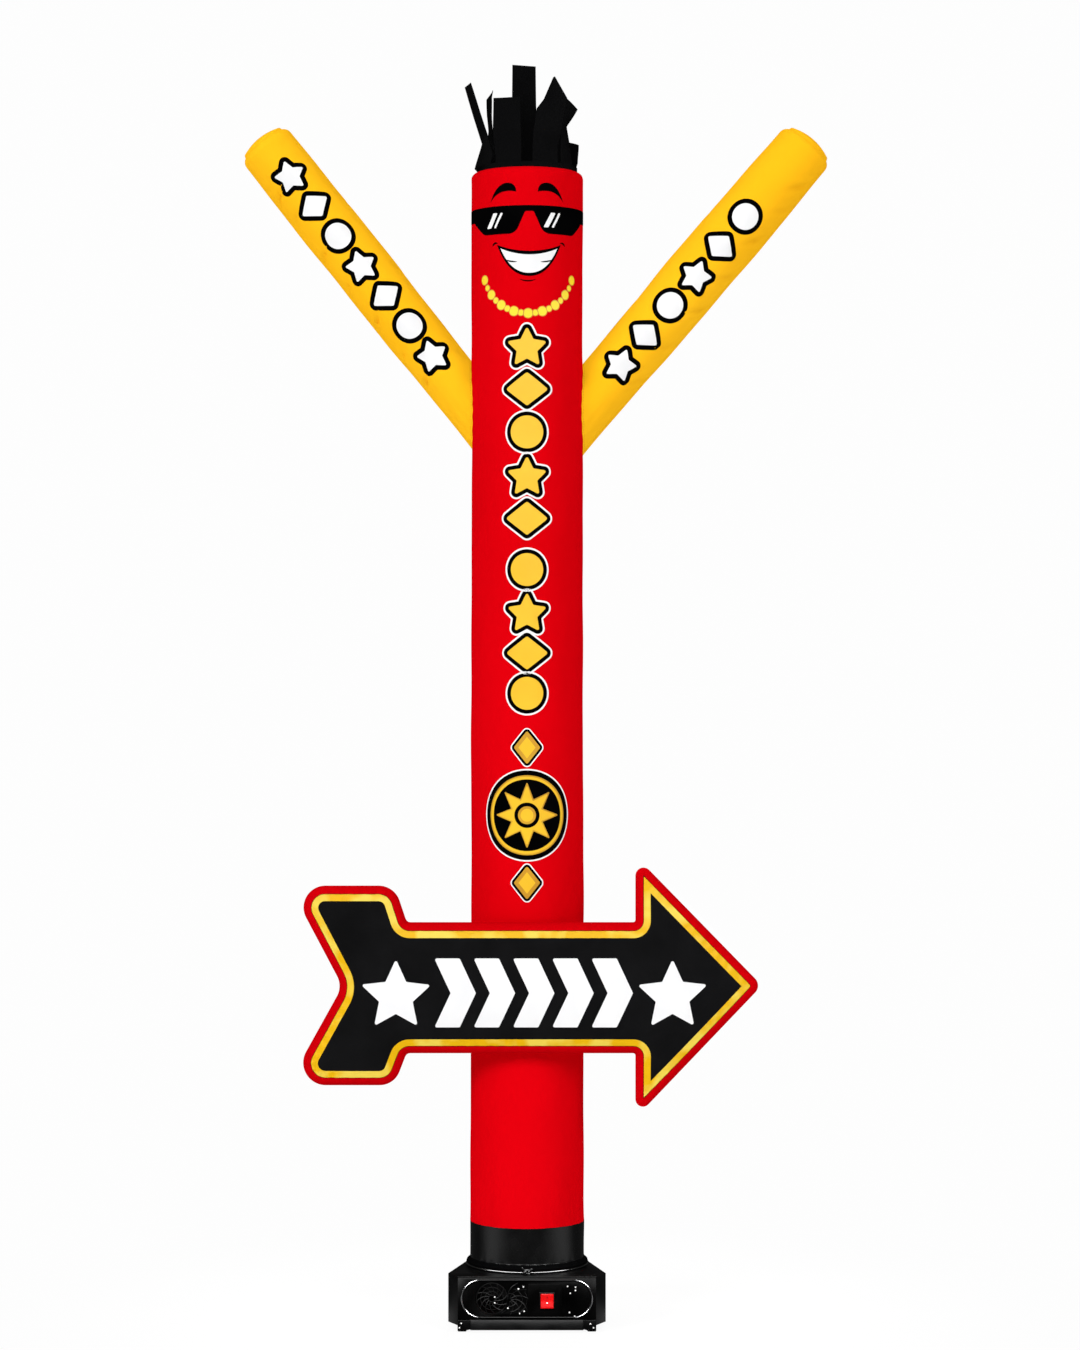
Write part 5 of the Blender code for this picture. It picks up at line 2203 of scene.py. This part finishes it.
@dataclass
class Studio:
    """The camera, the plain pale floor and the soft lights."""

    eye: Triple = (0.0348, -8.9, 1.747)
    lens: float = 87.25
    floor_radius: float = 60.0
    backdrop: float = 0.985
    near_glow: float = 0.92
    even_light: float = 0.27
    sky_light: float = 0.24
    gloss_light: float = 0.03
    side_light: float = 0.60

    def build_camera(self) -> None:
        """Makes the camera and gives it to the scene."""
        data = bpy.data.cameras.new("camera")
        data.lens = self.lens
        data.sensor_width = 36.0
        data.sensor_fit = "AUTO"
        data.clip_end = 200.0
        camera = placed("camera", data)
        camera.location = at(*self.eye)
        camera.rotation_euler = (radians(90.0), 0.0, 0.0)
        bpy.context.scene.camera = camera

    def build_floor(self) -> None:
        """Makes the floor: pale near the object, plain white further off."""
        mesh = bpy.data.meshes.new("floor")
        reach = self.floor_radius
        ring = [(reach * cos(turn), reach * sin(turn), 0.0) for turn in round_turns(48)]
        mesh.from_pydata(ring, [], [list(range(48))])
        floor = placed("floor", mesh)
        mesh.materials.append(self.floor_finish())

    def floor_finish(self) -> Material:
        """A white sweep that takes a soft shadow close to the object.

        Returns:
            The material.
        """
        bench = NodeBench(bpy.data.materials.new("floor_finish"))
        matt = bench.add("BsdfDiffuse", (0.09, 0.09, 0.09, 1.0))
        glow = bench.add("Emission", WHITE, self.near_glow)
        bright = bench.add("Emission", WHITE, self.backdrop)
        both = bench.add("AddShader", matt, glow)
        length = bench.add("VectorMath", bench.place, operation="LENGTH").outputs["Value"]
        near = bench.add("MixShader", bench.ranged(length, (0.4, 1.6), soft=True), both, bright)
        dim = bench.add("BsdfDiffuse", (0.85, 0.85, 0.85, 1.0))
        seen = bench.add("LightPath").outputs
        other = bench.add("MixShader", seen["Is Glossy Ray"], dim, self.side_glow(bench))
        final = bench.add("MixShader", seen["Is Camera Ray"], other, near)
        bench.feed(bench.tree.nodes["Material Output"].inputs["Surface"], final)
        return bench.owner

    def side_glow(self, bench: NodeBench) -> Node:
        """What glossy things mirror of the floor: bright at both sides, dark in front.

        Args:
            bench: the floor's nodes.

        Returns:
            The shader's node.
        """
        middle = (AXIS.x, AXIS.y, 0.0)
        off = bench.add("VectorMath", bench.place, middle, operation="SUBTRACT")
        way = bench.add("VectorMath", off, operation="NORMALIZE")
        depth = bench.add("SeparateXYZ", way).outputs["Y"]
        behind = bench.ranged(depth, (0.25, -0.30), soft=True)
        ahead = bench.ranged(depth, (-0.90, -0.40), soft=True)
        both = bench.add("Math", behind, ahead, operation="MULTIPLY")
        strength = bench.ranged(both, (0.0, 1.0), self.gloss_light, self.side_light)
        return bench.add("Emission", WHITE, strength)

    def build_world(self) -> None:
        """Makes the even light all round and the white behind the object."""
        world = bpy.data.worlds.new("studio_light")
        bpy.context.scene.world = world
        bench = NodeBench(world, "Generated")
        nodes = bench.tree.nodes
        last = nodes["Background"]
        bench.settle(last, Color=WHITE, Strength=self.gloss_light)
        height = bench.add("SeparateXYZ", bench.place).outputs["Z"]
        low, high = self.even_light, self.even_light + self.sky_light
        sky = bench.ranged(height, (0.0, 1.0), low, high)
        seen = bench.add("LightPath").outputs
        for ray, strength in (("Is Diffuse Ray", sky), ("Is Camera Ray", self.backdrop)):
            last = bench.add("MixShader", seen[ray], last, bench.add("Background", WHITE, strength))
        bench.feed(nodes["World Output"].inputs["Surface"], last)

    def lamp(self, name: str, kind: str, towards: Vector, strength: float) -> Piece:
        """Adds a light.

        Args:
            name: its name.
            kind: its type.
            towards: the direction from the object to it.
            strength: its brightness.

        Returns:
            The light.
        """
        data = bpy.data.lights.new(name, kind)
        data.energy = strength
        lamp = placed(name, data)
        lamp.rotation_euler = towards.to_track_quat("Z", "Y").to_euler()
        return lamp

    def sun(self, name: str, azimuth: float, height: float, strength: float, size: float) -> None:
        """Adds a wide even light.

        Args:
            name: its name.
            azimuth: degrees from the front, towards +X.
            height: degrees above the floor.
            strength: its brightness.
            size: its angle in degrees, which softens its shadows.
        """
        a, e = radians(azimuth), radians(height)
        towards = Vector((sin(a) * cos(e), -cos(a) * cos(e), sin(e)))
        lamp = self.lamp(name, "SUN", towards, strength)
        lamp.data.angle = radians(size)
        lamp.visible_glossy = False

    def box(
        self, name: str, azimuth: float, height: float, size: Span, glow: float, glossy: bool,
        away: float = 4.2,
    ) -> None:
        """Adds a soft box.

        Args:
            name: its name.
            azimuth: degrees from the front, towards +X.
            height: how high its middle is.
            size: its width and height.
            glow: the brightness of its face.
            glossy: whether it only shines in glossy things; otherwise it never does.
            away: its distance from the object.
        """
        place = round_axis(away, radians(azimuth), height)
        back = place - at(0, 0, 0.2 if glossy else 1.8)
        lamp = self.lamp(name, "AREA", back, glow * pi * size[0] * size[1])
        lamp.data.shape = "RECTANGLE"
        lamp.data.size, lamp.data.size_y = size
        lamp.visible_diffuse, lamp.visible_glossy = not glossy, glossy
        lamp.location = place

    def build(self) -> None:
        """Makes the whole studio."""
        self.build_camera()
        self.build_floor()
        self.build_world()
        self.sun("left_key", -46.0, 24.0, 1.63, 16.0)
        self.sun("right_key", 46.0, 24.0, 0.96, 16.0)
        self.sun("front_key", 0.0, 48.0, 0.60, 20.0)
        self.sun("rear_fill", 168.0, 24.0, 1.0, 20.0)
        self.box("low_fill", 0.0, 0.35, (3.0, 0.6), 6.0, False, 6.5)
        for turn in (-72.0, -36.0, 0.0, 36.0, 72.0):
            self.box(f"soft_box_{turn:.0f}", turn, 3.6, (2.6, 2.4), 20.0, True)
        bpy.context.scene.view_settings.view_transform = "Standard"


def note(pieces: Sequence[Piece]) -> None:
    """Logs each piece with its faces."""
    for piece in pieces:
        LOG.info("%s: %d faces", piece.name, len(piece.data.polygons))


def main() -> None:
    """Builds the studio and every part of the dancer, in order."""
    logging.basicConfig(level=logging.INFO, format="%(name)s %(message)s")
    Studio().build()
    tube = BodyTube()
    cloth = tube.build()
    cloth.visible_diffuse = cloth.visible_shadow = False
    seam = tube.build_seam()
    designs = (face_print(), garland_print(), column_print(), medallion_print())
    prints = [piece for design in designs for piece in design.build(tube.land)]
    note([cloth, *seam, *prints])
    rows = ((7, 0.1035, 0.0460, 0.786, -1), (6, 0.1050, 0.0465, 0.150, 1))
    for arm, (count, pitch, size, first, way) in zip(ARMS, rows):
        sleeve = arm.build(tube)
        stitched = arm.build_seam(tube)
        design = arm_print(f"{arm.name}_print", count, pitch, size)
        inks = design.build(partial(arm.land, first, way))
        round(arm.length() + 0.06, 3)
        note([sleeve, stitched, *inks])
    note(ArrowSign().build(tube))
    head = Head()
    note([head.build_cap(), head.build_hair()])
    skirt = Skirt()
    note([skirt.build(), skirt.build_tie()])
    blower = Blower()
    note(blower.build_case())
    note([blower.build_rim(), blower.build_guard(), blower.build_web()])
    note(blower.build_screws())
    note(blower.build_rocker())


if __name__ == "__main__":
    main()
